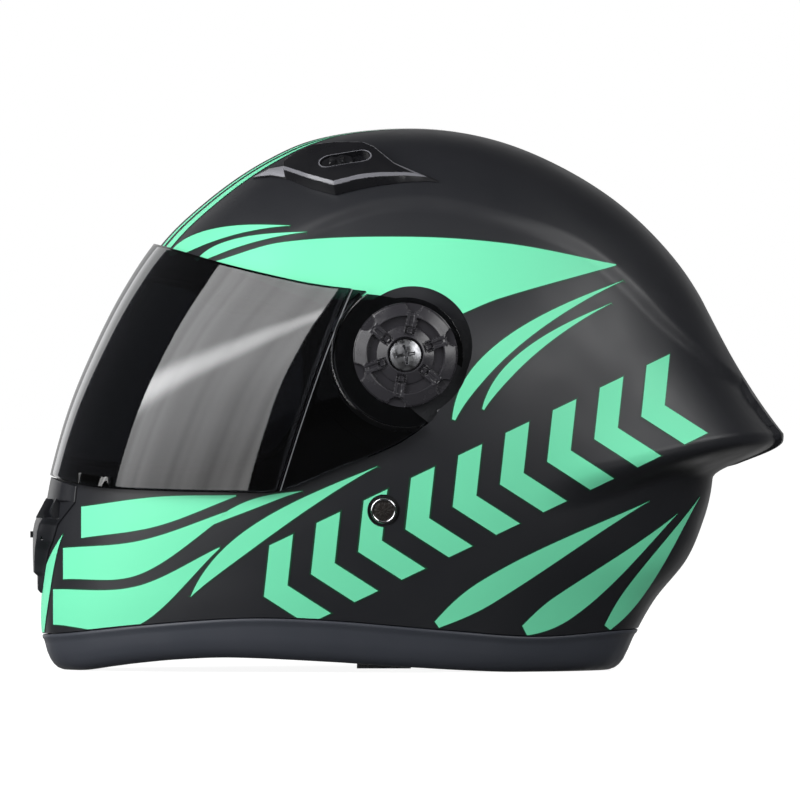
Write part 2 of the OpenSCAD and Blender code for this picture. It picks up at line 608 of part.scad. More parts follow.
// Point of the visor on the left, at a gap from the shell; near the pivot it lies in a flat plane
function visor_point(x, z, gap, out) = let (r = norm([x - axis_x, z - axis_z]), p = on_side(x, z, gap + out),
  flat = smooth((flat_r[1] - r) / (flat_r[1] - flat_r[0])))
  mix(p, [x, -(flat_w + out), z], flat);
function visor_col(c, v, out) = c <= nose_cols
  ? let (u = c / nose_cols, x = mix(visor_nose(v), step_x(v), u * u))
    visor_point(x, visor_z(x, v), visor_gap + (panel_step + panel_lift) * smooth(u), out)
  : let (x = mix(step_x(v) + 1, sx(12), (c - nose_cols - 1) / (panel_cols - 1)))
    visor_point(x, visor_z(x, v), visor_gap + panel_lift, out);
module visor_skin() {
  cols = nose_cols + panel_cols;
  function at(u, v, out) = let (c = round((2 * u - 1) * cols), p = visor_col(abs(c), v, out))
    [p[0], c < 0 ? -p[1] : p[1], p[2]];
  slab(2 * cols, visor_rows, function(u, v) at(u, v, visor_t), function(u, v) at(u, v, 0));
}
module lifting_tab() {
  x0 = sx(-160);
  function at(u, v, e) = let (x = x0 + tab_l * u)
    on_side(x, curve(under_line, x) + mix(0.8, 5.5, v), visor_gap + visor_t + e);
  slab(4, 2, function(u, v) at(u, v, tab_out * (1 - 0.5 * v)), function(u, v) at(u, v, -0.8));
}
module visor() {
  color("#101113", 0.75) difference() {
    union() {
      visor_skin();
      lifting_tab();
      both() at_side(axis_x, axis_z, flat_w - 0.12) cylinder(r = visor_end_r, h = visor_t + 0.24, $fn = 96);
    }
    both() at_side(axis_x, axis_z, flat_w - 5) cylinder(r = boss_r + turn_gap, h = visor_t + 10, $fn = 64);
  }
}

// Roof scoop: outline on the side, height along it, and the frame of its slider
scoop_xs = [-75, -69, -63, -58.5, -57.5, -52, -47.8, -42, -36.6, -31, -25.5, -20, -14, -9, -4, 5, 14.3];
scoop_top = [[-75, 237.7], [-66.4, 242.2], [-58, 241.8], [-47.8, 249], [-36.6, 251], [-20.1, 251],
  [-4.1, 242.5], [14.3, 235.6]];
scoop_low = [[-75, 237.1], [-57.5, 236], [-34.4, 230.4], [-18.2, 233.8], [5.1, 235.6], [14.3, 234.9]];
scoop_rise = [[-75, 0.16], [-58.5, 0.2], [-57.5, 0.8], [-46, 1], [-20, 0.97], [-4, 0.6], [14.3, 0.12]];
scoop_x = sx(-29);
scoop_z = sz(241.5);
slot_floor = 3.3;
air_x = -slot_l / 2 + 4.6;
scoop_bottom = 0.3;
slider_out = 2.2;
module roof_scoop() {
  n = len(scoop_xs) - 1;
  function place(u, v) = let (x = scoop_xs[round(u * n)])
    [sx(x), sz(mix(lookup(x, scoop_low), lookup(x, scoop_top), v))];
  function up(u, v) = let (x = scoop_xs[round(u * n)], edge = min(1, 3.2 * min(v, 1 - v)))
    mix(0.7, scoop_h * lookup(x, scoop_rise), edge);
  color("#28292d") difference() {
    slab(n, 8, function(u, v) let (q = place(u, v)) on_side(q[0], q[1], max(scoop_bottom + 0.4, up(u, v))),
      function(u, v) let (q = place(u, v)) on_side(q[0], q[1], scoop_bottom));
    on_shell(scoop_x, scoop_z) {
      translate([0, 0, slot_floor]) stadium(slot_l, slot_w, 20);
      translate([air_x, 0, -5]) cylinder(r = air_r, h = 20, $fn = 32);
    }
    on_shell(sx(-47), sz(241)) {
      translate([-14, -4.4, 1.3]) cube([24, 8.8, 1.2]);
      translate([-14, -4.4, 1.3]) cube([12, 8.8, 3]);
    }
  }
}
module roof_scoop_left() roof_scoop();
module roof_scoop_right() mirror([0, 1, 0]) roof_scoop();
module scoop_slider() {
  color("#17181a") on_shell(scoop_x, scoop_z)
    translate([-(slot_l - slider_l) / 2 + slide_gap, 0, slot_floor + 0.15]) {
      stadium(slider_l, slot_w - 2 * slide_gap, slider_t);
      translate([0, 0, slider_t]) stadium(7, 3.4, slider_out - 0.6);
    }
}
module scoop_slider_left() scoop_slider();
module scoop_slider_right() mirror([0, 1, 0]) scoop_slider();
scoop_way = let (n = normal(on_side(scoop_x, scoop_z, 0))) unit([1, 0, 0] - n * n[0]);

// Chin vent: cover with an air slot, shutter behind it and mesh behind the shell
module air_slot(g) {
  translate([sx(-200), -air_slot_w / 2 - g, sz(air_slot_z) - air_slot_h / 2 - g])
    cube([sx(-125) - sx(-200), air_slot_w + 2 * g, air_slot_h + 2 * g]);
}
shutter_h = air_slot_h + 1.5;
shutter_w = air_slot_w + 2.4;
shutter_x = front_x(sz(62)) - 0.9;
shutter_low = sz(air_slot_z) + air_slot_h / 2 - 0.2 - shutter_h - shutter_travel;
shutter_reach = cover_out + 1.2;
tab_w = 9;
module shutter_pocket() {
  translate([shutter_x - slide_gap, -shutter_w / 2 - slide_gap, shutter_low - slide_gap])
    cube([shutter_t + 2 * slide_gap, shutter_w + 2 * slide_gap, shutter_h + shutter_travel + slide_gap + 0.2]);
}
module chin_vent_cover() {
  rows = [37, 38.5, 45, 50, 56, 63, 70, 72.6, 73.4, 80.6, 81.4, 87, 93.4];
  out = [[37, 0.16], [38.5, 0.34], [45, 0.55], [50, 0.95], [56, 1.02], [70, 1.14], [72.6, 1.1],
    [73.4, 0.2], [80.6, 0.2], [81.4, 0.46], [93.4, 0.44]];
  half = [[37, 0.5], [60, 0.86], [73, 1], [93.4, 1]];
  n = len(rows) - 1;
  ledge = 81.4;
  function top(y) = min(rows[n], (curve(under_line, front_x(sz(90), y)) - edge_gap) / kz);
  function place(u, v) = let (r = rows[round(v * n)], y = (1 - 2 * u) * cover_w / 2 * lookup(r, half))
    [y, r > ledge ? mix(ledge, top(y), (r - ledge) / (rows[n] - ledge)) : r];
  function up(u, v) = let (z = rows[round(v * n)], k = abs(2 * u - 1))
    mix(0.75, cover_out * lookup(z, out), smooth((1 - k) / 0.26));
  color("#232428") difference() {
    slab(18, n, function(u, v) let (q = place(u, v)) on_front(q[0], sz(q[1]), max(0.7, up(u, v))),
      function(u, v) let (q = place(u, v)) on_front(q[0], sz(q[1]), 0.25));
    air_slot(0);
    shutter_pocket();
    translate([sx(-200), -tab_w / 2 - slide_gap, shutter_low + 0.6])
      cube([40, tab_w + 2 * slide_gap, shutter_h + shutter_travel]);
  }
}
module chin_vent_shutter() {
  color("#101113") {
    translate([shutter_x, -shutter_w / 2, shutter_low]) cube([shutter_t, shutter_w, shutter_h]);
    translate([shutter_x - shutter_reach, -tab_w / 2, shutter_low + 1]) cube([shutter_reach + 0.5, tab_w, 3]);
  }
}
module chin_vent_mesh() {
  d = shell_t + layer_gap;
  w = air_slot_w + 3;
  h = air_slot_h + 3;
  function at(u, v, e) = on_front((0.5 - u) * w, sz(air_slot_z) + (v - 0.5) * h, -e);
  color("#0e0e10") difference() {
    slab(8, 1, function(u, v) at(u, v, d), function(u, v) at(u, v, d + mesh_t));
    for (i = [-4:4]) for (j = [-1:1])
      translate([sx(-190), i * air_slot_w / 10 - 1.7, sz(air_slot_z) + j * air_slot_h / 3.2 - 0.8]) cube([60, 3.4, 1.6]);
  }
}

// Chin strap: rivets, webbing and buckle
cap_seat = 0.7;
washer_r = 6;
washer_t = 1.1;
module at_rivet() both() on_shell(strap_place, rivet_place) children();
module strap_rivets() {
  color("#c9cacd") at_rivet() {
    translate([0, 0, -rivet_sink + 0.1]) rotate_extrude($fn = 64)
      polygon([[0, 0], [rivet_r, 0], [rivet_r, rivet_t - 0.6], [rivet_r - 0.5, rivet_t], [rivet_r - 1, rivet_t - 0.3],
        [rivet_r - 1.2, cap_seat], [0, cap_seat]]);
    translate([0, 0, -strap_in - 1.8]) cylinder(r = shank_r, h = strap_in + 2 - rivet_sink, $fn = 32);
  }
}
module rivet_caps() {
  color("#17181a") at_rivet() translate([0, 0, -rivet_sink + 0.1 + cap_seat]) rotate_extrude($fn = 64)
    polygon(concat([[0, 0]], [for (i = [0:6]) let (a = 15 * i) [(rivet_r - 1.3) * cos(a), 0.5 + 1.3 * sin(a)]],
      [[0, 1.8]]));
}
module rivet_washers() {
  color("#8b8d92") at_rivet() translate([0, 0, -strap_in - washer_t - 0.3]) difference() {
    cylinder(r = washer_r, h = washer_t, $fn = 48);
    translate([0, 0, -1]) cylinder(r = shank_r + 0.1, h = 4, $fn = 32);
  }
}
// Depth of the webbing's inner face below the shell's surface at the rivet
strap_gap = 1.6;
strap_in = shell_t + strap_gap + strap_t;
// The webbing's path: height and distance in from the shell, then distance from the middle plane and height
strap_side = [[88, 0], [78, 0], [66, 0], [52, 0], [40, 0.9], [31, 2.7], [20, 4.4], [12, 6.6]];
strap_under = [[84, 6.6], [76, 4.6], [66, 3.9]];
frame_end = buckle_l + 18;
function strap_y(q) = -side_y(strap_place, sz(q[0])) + shell_t + strap_gap + strap_t / 2 + q[1];
function strap_mid(tail) = concat([for (q = strap_side) [strap_y(q), sz(q[0])]],
  [for (q = strap_under) [-q[0] * ky, q[1]]], tail);
module webbing(path) {
  n = len(path) - 1;
  loft([for (i = [0:n])
    let (p = path[i], d = unit(path[min(n, i + 1)] - path[max(0, i - 1)]), m = [-d[1], d[0]] * strap_t / 2)
    [for (q = [[-1, -1], [1, -1], [1, 1], [-1, 1]])
      [strap_place + q[0] * strap_w / 2, p[0] + q[1] * m[0], p[1] + q[1] * m[1]]]]);
}
module strap_hole() on_shell(strap_place, rivet_place) translate([0, 0, -20])
  cylinder(r = shank_r + 0.15, h = 40, $fn = 32);
frame_z = 1.2;
module strap_left() {
  z = frame_z + buckle_t + 0.2 + strap_t / 2;
  color("#131315") difference() {
    webbing(strap_mid([[-frame_end + 2, z], [-buckle_l - 5, z]]));
    strap_hole();
  }
}
tongue_z = frame_z + buckle_t + 0.4;
tongue_end = 26;
module strap_right() {
  z = tongue_z + strap_t + 0.2 + strap_t / 2;
  color("#131315") mirror([0, 1, 0]) difference() {
    webbing(strap_mid([[-54, 4.4], [-40, z - 0.6], [-tongue_end, z], [-12, z]]));
    strap_hole();
  }
}
buckle_w = 26;
pin_y = -buckle_l + 6;
pin_z = frame_z + buckle_h - 2.4;
module buckle_frame() {
  color("#9a9ca1") difference() {
    translate([strap_place, 0, frame_z]) {
      translate([-buckle_w / 2, -frame_end, 0]) cube([buckle_w, frame_end - 4, buckle_t]);
      for (s = [-1, 1]) translate([s * (buckle_w - buckle_t) / 2 - buckle_t / 2, -buckle_l, 0])
        cube([buckle_t, buckle_l - 10, buckle_h]);
    }
    translate([strap_place - buckle_w, pin_y, pin_z]) rotate([0, 90, 0]) cylinder(r = pin_r, h = 2 * buckle_w, $fn = 32);
    translate([strap_place - 9, -frame_end + 4, 0]) cube([18, 3, 5]);
  }
}
module buckle_pin() {
  color("#c9cacd") translate([strap_place - buckle_w / 2, pin_y, pin_z]) rotate([0, 90, 0])
    cylinder(r = pin_r, h = buckle_w, $fn = 32);
}
lever_w = buckle_w - 2 * buckle_t - 0.6;
module buckle_lever() {
  color("#8e1d1d") difference() {
    translate([strap_place - lever_w / 2, 0, 0]) {
      translate([0, pin_y, pin_z]) rotate([0, 90, 0]) cylinder(r = pin_r + 1.4, h = lever_w, $fn = 48);
      translate([0, pin_y, pin_z]) cube([lever_w, -pin_y, 1.8]);
      translate([0, -5, pin_z]) cube([lever_w, 7, 3.2]);
      translate([lever_w / 2 - 5, pin_y + 14, tongue_z + strap_t + 0.5]) cube([10, 2.5, pin_z - tongue_z - strap_t]);
    }
    translate([strap_place - buckle_w, pin_y, pin_z]) rotate([0, 90, 0])
      cylinder(r = pin_r + 0.08, h = 2 * buckle_w, $fn = 32);
  }
}
module buckle_tongue() {
  w = 17;
  color("#9a9ca1") difference() {
    translate([strap_place - w / 2, pin_y + 5, tongue_z]) cube([w, tongue_end - pin_y - 5, strap_t]);
    for (i = [0:5]) translate([strap_place - w, pin_y + 8 + 3 * i, tongue_z + strap_t - 0.6]) cube([2 * w, 1.5, 2]);
  }
}

outer_shell();
edge_trim();
eyeport_gasket();
impact_liner();
crown_pad();
chin_liner();
cheek_pad_left();
cheek_pad_right();
cheek_pad_studs();
neck_roll();
breath_guard();
base_plate_left();
base_plate_right();
base_plate_screws();
visor();
side_cover_left();
side_cover_right();
pivot_screw_left();
pivot_screw_right();
pivot_nuts();
roof_scoop_left();
roof_scoop_right();
scoop_slider_left();
scoop_slider_right();
chin_vent_cover();
chin_vent_shutter();
chin_vent_mesh();
strap_rivets();
rivet_caps();
rivet_washers();
strap_left();
strap_right();
buckle_frame();
buckle_lever();
buckle_pin();
buckle_tongue();
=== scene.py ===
"""Full face motorcycle helmet with a hinged smoked visor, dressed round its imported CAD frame.

-X is the front of the helmet, -Y the wearer's left and +Z up, as in the frame. Sizes are in
millimetres, and add_piece turns them to metres. Plan angles are in degrees from the front,
positive towards the wearer's left.
"""
import math

import bpy
import numpy as np
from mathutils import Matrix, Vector
from mathutils.geometry import delaunay_2d_cdt
from mathutils.kdtree import KDTree


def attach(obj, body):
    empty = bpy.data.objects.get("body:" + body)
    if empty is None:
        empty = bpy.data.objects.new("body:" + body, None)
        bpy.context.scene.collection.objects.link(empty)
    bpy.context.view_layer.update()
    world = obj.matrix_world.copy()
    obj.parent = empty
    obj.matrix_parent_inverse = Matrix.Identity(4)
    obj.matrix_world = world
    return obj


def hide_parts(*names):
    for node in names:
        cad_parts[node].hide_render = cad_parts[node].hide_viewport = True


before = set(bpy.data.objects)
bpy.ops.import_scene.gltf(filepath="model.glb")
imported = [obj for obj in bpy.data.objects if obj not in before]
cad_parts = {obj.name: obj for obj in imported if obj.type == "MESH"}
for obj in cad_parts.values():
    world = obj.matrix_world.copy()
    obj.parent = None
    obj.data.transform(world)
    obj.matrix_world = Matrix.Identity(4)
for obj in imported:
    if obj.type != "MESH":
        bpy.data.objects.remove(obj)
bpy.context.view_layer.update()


# Outer shell: one injection moulding in ABS, 4 mm thick, sprayed with a soft-touch charcoal lacquer.
# It is egg-shaped in plan and drawn by its outlines from the side and from above. A soft ridge runs
# from the temple to a short tail, and the eyeport and the pockets of the visor's pivots are cut out.
MM = 0.001
shell_height = 262.0
shell_wall = 4.0
pocket_depth = 10.0
plan_power = 2.15
front_rows = ((262, 2), (256.8, -43.7), (247, -67.4), (227.7, -96), (208.3, -116.9), (184, -133.8),
              (155, -148.8), (126, -160.8), (97, -169.2), (80, -172.3), (50, -176), (20, -177.3), (0, -172))
rear_rows = ((262, 2), (256.8, 41.2), (247, 67.4), (227.7, 99.9), (208.3, 121.3), (188.9, 136.8),
             (169.5, 147), (145, 151.5), (115, 151.5), (92, 149), (72.5, 143.6), (53, 135.2),
             (33.7, 119.8), (14.3, 109), (0, 103))
half_rows = ((262, 0), (256.8, 40), (247, 63), (227.7, 88), (208, 103.5), (184, 115.6), (165, 122),
             (145, 125), (120, 124.8), (97, 122.8), (70, 118.6), (40, 111), (20, 105), (0, 99))
middle_rows = ((262, 2), (247, 6), (208, 10), (0, 10))
rim_high = ((-200, 17.5), (-176, 17.5), (-126, 22.8), (-78, 26.2), (-38, 25.2), (20, 20.4), (64, 17.4),
            (109, 20), (200, 20))
rim_low = ((-200, 0), (-168, 0), (-150, 2.2), (-137, 3.8), (-115, 5.8), (-87, 6.8), (-38, 4.8), (-4, 2.6),
           (31, 0.8), (58, 0), (200, 0))
ridge_line = ((-70, 207), (-20, 225.5), (10, 228.5), (38, 223), (81, 209), (106, 190), (125, 170), (160, 130))
ridge_height = 3.0
ridge_turn = 7.5
ridge_start, ridge_end = -70, 160
tail_length = 31.0
tail_start_angle, tail_full_angle = 108, 152
tail_underside, tail_droop, tail_lip, tail_top = 84, 18, 12, 176
eyeport_top, eyeport_low = 192.0, 102.5
eyeport_rows = ((-105, 187), (-84, 181.5), (-66, 176), (-53, 168), (-48, 156), (-47, 142), (-49, 126),
                (-56, 111.5), (-67, 101.5), (-86, 97.3), (-112, 96.4), (-142, 97.6), (-160, 99.8))
visor_low_rows = ((-176, 95.5), (-159, 90.2), (-141, 87.8), (-80, 86.6), (-60, 87.4), (-37.6, 96.5),
                  (-3.6, 111), (12, 122))
visor_top_rows = ((-150, 210.6), (-122.5, 204.7), (-86, 194), (-52, 185.8), (-37.6, 183.3), (-26, 181.9),
                  (-6.5, 179.2), (3, 175), (12, 158))
pivot = np.array([-1.0, 152.0])
pocket_radius = 30.5
swing_shift = (3.4, 4.1)
dip_radius, dip_front, dip_top = 46, 8, 26
rivet_place = np.array([-11.4, 77.6])
recess_radius = 7.7
air_width, air_height, air_z = 44.0, 7.0, 77.0
slot_centre = np.array([-29.0, 241.5])
bore_place, bore_radius = -7.9, 3.2
shell_columns = 440
shell_row_heights = ((20, 26), (80, 38), (124, 24), (180, 28), (230, 46), (262, 0))


def smooth(u):
    """3u^2 - 2u^3 between 0 and 1, flat outside."""
    u = np.clip(u, 0, 1)
    return u * u * (3 - 2 * u)


def curve(rows, place):
    """Cubic through rows of (place, value); its slope at a row is that between the neighbours."""
    x, y = np.array(rows, float).T
    n = len(x)
    before, after = np.maximum(np.arange(n) - 1, 0), np.minimum(np.arange(n) + 1, n - 1)
    slope = (y[after] - y[before]) / (x[after] - x[before])
    place = np.asarray(place, float)
    i = np.clip(np.searchsorted(x, place, side="right") - 1, 0, n - 2)
    h = x[i + 1] - x[i]
    s = (place - x[i]) / h
    return ((2 * s**3 - 3 * s**2 + 1) * y[i] + (s**3 - 2 * s**2 + s) * slope[i] * h
            + (3 * s**2 - 2 * s**3) * y[i + 1] + (s**3 - s**2) * slope[i + 1] * h)


def depth(z):
    """Depth below the crown, the root of 1 - z / height, so that the crown comes out round."""
    return np.sqrt(np.maximum(0, 1 - np.asarray(z, float) / shell_height))


def by_depth(rows):
    """Rows of (height, value) as rows of (depth, value)."""
    heights, values = np.array(rows, float).T
    return np.stack([depth(heights), values], 1)


front_table, rear_table = by_depth(front_rows), by_depth(rear_rows)
half_table, middle_table = by_depth(half_rows), by_depth(middle_rows)


def plain_surface(angle, t):
    """The shell without ridge and tail: each level t is a superellipse between its outlines."""
    c, s = np.cos(np.radians(angle)), np.sin(np.radians(angle))
    middle = curve(middle_table, t)
    reach = np.where(c > 0, middle - curve(front_table, t), curve(rear_table, t) - middle)
    x = middle - np.sign(c) * reach * np.abs(c) ** (2 / plan_power)
    y = -curve(half_table, t) * np.sign(s) * np.abs(s) ** (2 / plan_power)
    return np.stack([x, y, shell_height * (1 - t * t) + 0 * x], -1)


def plain_place(x, t):
    """Middle of level t, the share of its reach at place x, and the share of its half width there."""
    middle = curve(middle_table, t)
    reach = np.where(x < middle, middle - curve(front_table, t), curve(rear_table, t) - middle)
    share = np.clip(np.abs(x - middle) / reach, 0, 1)
    return middle, share, (1 - share**plan_power) ** (1 / plan_power)


def tail(angle, z):
    """Distance that the tail stands out: full behind, with a lip near its underside, then fading up."""
    k = smooth((np.abs(angle) - tail_start_angle) / (tail_full_angle - tail_start_angle))
    low = tail_underside + tail_droop * k
    lip = low + tail_lip
    fade = np.maximum(0, (tail_top - z) / (tail_top - lip)) ** 1.7
    return tail_length * k * np.where(z < lip, smooth((z - low + 9.5) / 18.5), fade)


def crest(x, z):
    """Distance that the side lies in below the ridge line: a quick step, then slowly back to nothing."""
    below = curve(ridge_line, np.clip(x, ridge_start, ridge_end)) - z
    step = smooth(below / ridge_turn) * (1 - smooth((below - 15) / 60)) * smooth((x - ridge_start) / 35)
    return np.where((x < ridge_start) | (x > ridge_end - 10), 0, ridge_height * step)


def shell_surface(angle, t, tailed=True):
    """The outside of the shell: each plain level is stretched from its middle by tail and ridge."""
    p = plain_surface(angle, t)
    middle = curve(middle_table, t)
    r = np.maximum(np.hypot(p[..., 0] - middle, p[..., 1]), 1)
    out = (tail(angle, p[..., 2]) if tailed else 0) - crest(p[..., 0], p[..., 2])
    k = 1 + np.where(r > 1, out / r, 0)
    return np.stack([middle + (p[..., 0] - middle) * k, p[..., 1] * k, p[..., 2]], -1)


def unit(v):
    """v divided by its length."""
    return v / np.maximum(np.linalg.norm(v, axis=-1, keepdims=True), 1e-12)


def surface_normal(surface, angle, t):
    """Outward normal: the cross product of steps along the angle and up the surface."""
    angle, t = np.broadcast_arrays(np.asarray(angle, float), np.asarray(t, float))
    along = surface(angle + 0.2, t) - surface(angle - 0.2, t)
    up = surface(angle, np.maximum(t - 0.001, 0)) - surface(angle, t + 0.001)
    up_z = np.array([0.0, 0.0, 1.0])
    return np.where((t < 0.02)[..., None], up_z, unit(np.cross(along, up)))


def inside(angle, t, d):
    """A layer at distance d in from the plain surface with its ridge, square to the plain surface."""
    return shell_surface(angle, t, False) - np.asarray(d)[..., None] * surface_normal(plain_surface, angle, t)


def find_angle(x, z):
    """Plan angle on the left at which the shell has that place x at height z, by halving from 0 to 180."""
    t = depth(z)
    low, high = np.zeros_like(t), np.full_like(t, 180.0)
    for _ in range(26):
        middle = (low + high) / 2
        ahead = shell_surface(middle, t)[..., 0] < x
        low, high = np.where(ahead, middle, low), np.where(ahead, high, middle)
    return (low + high) / 2


def on_side(x, z, d=0.0):
    """Point on the left side at place x and height z, lifted d off the shell."""
    angle, t = find_angle(x, z), depth(z)
    return shell_surface(angle, t) + np.asarray(d)[..., None] * surface_normal(shell_surface, angle, t)


def side_frame(place):
    """Point on the left side with three axes: to the rear along the shell, up along it, and out of it."""
    out = surface_normal(shell_surface, find_angle(*place), depth(place[1]))
    back = unit(np.array([1.0, 0, 0]) - out * out[0])
    return on_side(*place), np.stack([back, np.cross(out, back), out])


slot_origin, slot_axes = side_frame(slot_centre)


def from_slot_frame(local):
    """Points from distances along, across and out of the slider's slot."""
    return slot_origin + local @ slot_axes


def in_slot_frame(points):
    """The other way: distances along, across and out of the slot."""
    return (points - slot_origin) @ slot_axes.T


def bore_distance(points):
    """Signed distance to the axis of the air bore under each roof scoop, less the bore's radius."""
    local = in_slot_frame(points * [1, 0, 1] - [0, 1, 0] * np.abs(points[:, 1:2]))
    return np.hypot(local[:, 0] - bore_place, local[:, 1]) - bore_radius


def rim_line(rows, angle):
    """Height of a line of the rim moulding, by the place that the shell has there at z = 20 mm."""
    return curve(rows, plain_surface(angle, depth(20.0))[..., 0])


def straight(rows, place):
    """Straight lines through rows of (place, value)."""
    return np.interp(place, *np.array(rows).T)


def circle(turns):
    """Points of a circle of radius 1 at turns in radians."""
    return np.stack([np.cos(turns), np.sin(turns)], -1)


def spline(points, count):
    """Cubic through points, evenly spaced in its parameter, with slopes from each point's neighbours."""
    points = np.array(points, float)
    steps = np.arange(len(points))
    u = np.linspace(0, len(points) - 1, count)
    return np.stack([curve(np.stack([steps, column], 1), u) for column in points.T], -1)


def outline_distance(points, outline):
    """Signed distance from points to a closed outline in the side plane, negative inside it."""
    start, edge = outline, np.roll(outline, -1, 0) - outline
    result = np.empty(len(points))
    for i in range(0, len(points), 6000):
        p = points[i:i + 6000, None, :]
        rel = p - start
        u = np.clip((rel * edge).sum(-1) / np.maximum((edge * edge).sum(-1), 1e-12), 0, 1)
        far = np.linalg.norm(rel - u[..., None] * edge, axis=-1).min(1)
        rises = (start[:, 1] > p[..., 1]) != (start[:, 1] + edge[:, 1] > p[..., 1])
        slant = edge[:, 0] * rel[..., 1] / np.where(edge[:, 1] == 0, 1e-12, edge[:, 1])
        crossings = (rises & (rel[..., 0] < slant)).sum(1)
        result[i:i + 6000] = np.where(crossings % 2 == 1, -far, far)
    return result


def front_x(z):
    """Place of the shell's front on the middle plane at height z."""
    return float(curve(front_table, depth(z)))


eyeport_edge = spline(((front_x(eyeport_top), eyeport_top),) + eyeport_rows
                      + ((front_x(eyeport_low), eyeport_low),), 120)
eyeport_outline = np.vstack([[-230, eyeport_top + 20], eyeport_edge, [-230, eyeport_low + 8]])


def pocket_distance(points):
    """Signed distance to the pivot pocket's outline: two circles, a dip in front and a corner below."""
    local = points - pivot
    round_part = np.hypot(*local.T) - pocket_radius
    swing = np.hypot(*(local - swing_shift).T) - (pocket_radius - 2)
    dip = np.maximum.reduce([np.hypot(*local.T) - dip_radius, local[:, 0] + dip_front, local[:, 1] - dip_top])
    corner_x = np.array([-20, -12, -4, 4, 12])
    corner = np.vstack([np.stack([corner_x, curve(visor_low_rows, corner_x) - 1.2], 1),
                        [14.2, 124], [9, 152], [-20, 144]])
    return np.minimum.reduce([round_part, swing, dip, outline_distance(points, corner)])


def uncut(p):
    """Distance of points from the nearest cut of the shell, positive on the wall that stays."""
    side = p[:, [0, 2]]
    pocket = np.where(np.abs(p[:, 1]) > 60, pocket_distance(side), 99)
    rivet = np.hypot(*(side - rivet_place).T) - recess_radius
    slot = np.maximum(np.abs(p[:, 1]) - air_width / 2, np.abs(p[:, 2] - air_z) - air_height / 2)
    slot = np.where(p[:, 0] < -120, slot, 99)
    bore = np.where(p[:, 2] > 200, bore_distance(p), 99)
    return np.minimum.reduce([outline_distance(side, eyeport_outline), pocket, rivet, slot, bore])


def grid_faces(rows, columns, loop=False):
    """Four-sided faces of a grid of points: columns to the right and rows up, seen from outside."""
    last = columns if loop else columns - 1
    j, i = np.meshgrid(np.arange(rows - 1), np.arange(last), indexing="ij")
    k = (i + 1) % columns
    return np.stack([j * columns + i, j * columns + k, (j + 1) * columns + k, (j + 1) * columns + i],
                    -1).reshape(-1, 4)


def tube_faces(rows, columns, loop=True):
    """Faces of a grid whose last row also joins its first."""
    return grid_faces(rows + 1, columns, loop) % (rows * columns)


def halved(quads):
    """Each four-sided face as two triangles."""
    return np.vstack([quads[:, [0, 1, 2]], quads[:, [0, 2, 3]]])


def keep_positive(data, triangles, value):
    """The part of a triangle mesh where value > 0, with edges that change sign cut where it is 0."""
    inside_it = value > 0
    count = inside_it[triangles].sum(1)
    kept = [triangles[count == 3]]
    cut_pairs, patterns = [], []
    for wanted, tri in ((1, triangles[count == 1]), (2, triangles[count == 2])):
        odd = inside_it[tri] if wanted == 1 else ~inside_it[tri]
        first = odd.argmax(1)[:, None]
        turned = np.take_along_axis(tri, (np.arange(3) + first) % 3, 1)
        cut_pairs += [turned[:, [0, 1]], turned[:, [0, 2]]]
        patterns.append(turned)
    pairs = np.sort(np.vstack(cut_pairs), 1)
    unique, back = np.unique(pairs, axis=0, return_inverse=True)
    a, b = unique.T
    share = (value[a] / (value[a] - value[b]))[:, None]
    data = np.vstack([data, data[a] * (1 - share) + data[b] * share])
    back = back.ravel() + len(value)
    n, m = len(patterns[0]), len(patterns[1])
    ab, ac, pq, pr = back[:n], back[n:2 * n], back[2 * n:2 * n + m], back[2 * n + m:]
    one, two = patterns
    kept += [np.stack([one[:, 0], ab, ac], 1), np.stack([pq, two[:, 1], two[:, 2]], 1),
             np.stack([pq, two[:, 2], pr], 1)]
    faces = np.vstack(kept)
    used, faces = np.unique(faces, return_inverse=True)
    return data[used], faces.reshape(-1, 3)


def add_piece(name, points, faces, material, slot, body="helmet", node=None, sharp=40, uv=None, accents=()):
    """A mesh piece from points in millimetres and faces of one size, with edges crisp above an angle.

    It stands for a CAD node where one is named. Each of its accents is a second material with the faces that
    take it, as true or false.
    """
    points, faces = np.asarray(points, float).reshape(-1, 3), np.asarray(faces)
    mesh = bpy.data.meshes.new(name)
    mesh.vertices.add(len(points))
    mesh.vertices.foreach_set("co", (points * MM).ravel())
    mesh.loops.add(faces.size)
    mesh.loops.foreach_set("vertex_index", faces.ravel())
    mesh.polygons.add(len(faces))
    mesh.polygons.foreach_set("loop_start", np.arange(len(faces)) * faces.shape[1])
    mesh.update(calc_edges=True)
    mesh.validate()
    if uv is not None:
        layer = mesh.uv_layers.new(name="UVMap")
        corners = np.empty(len(mesh.loops), int)
        mesh.loops.foreach_get("vertex_index", corners)
        layer.data.foreach_set("uv", np.asarray(uv, float).reshape(-1, 2)[corners].ravel())
    mesh.polygons.foreach_set("use_smooth", np.ones(len(mesh.polygons), bool))
    mesh.set_sharp_from_angle(angle=math.radians(sharp))
    mesh.materials.append(material)
    slots = np.zeros(len(faces), int)
    for accent, where in accents:
        mesh.materials.append(accent)
        slots[where] = len(mesh.materials) - 1
    mesh.polygons.foreach_set("material_index", slots)
    piece = bpy.data.objects.new(name, mesh)
    bpy.context.scene.collection.objects.link(piece)
    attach(piece, body)
    if node:
        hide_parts(node)
    return piece


def thickened(piece, wall):
    """Gives a piece made as a sheet a wall towards its inside."""
    modifier = piece.modifiers.new("wall", "SOLIDIFY")
    modifier.thickness = wall * MM
    modifier.offset = -1


def linear(code):
    """An sRGB hex colour as linear RGBA."""
    c = np.array([int(code[i:i + 2], 16) for i in (1, 3, 5)]) / 255
    return (*np.where(c <= 0.04045, c / 12.92, ((c + 0.055) / 1.055) ** 2.4), 1.0)


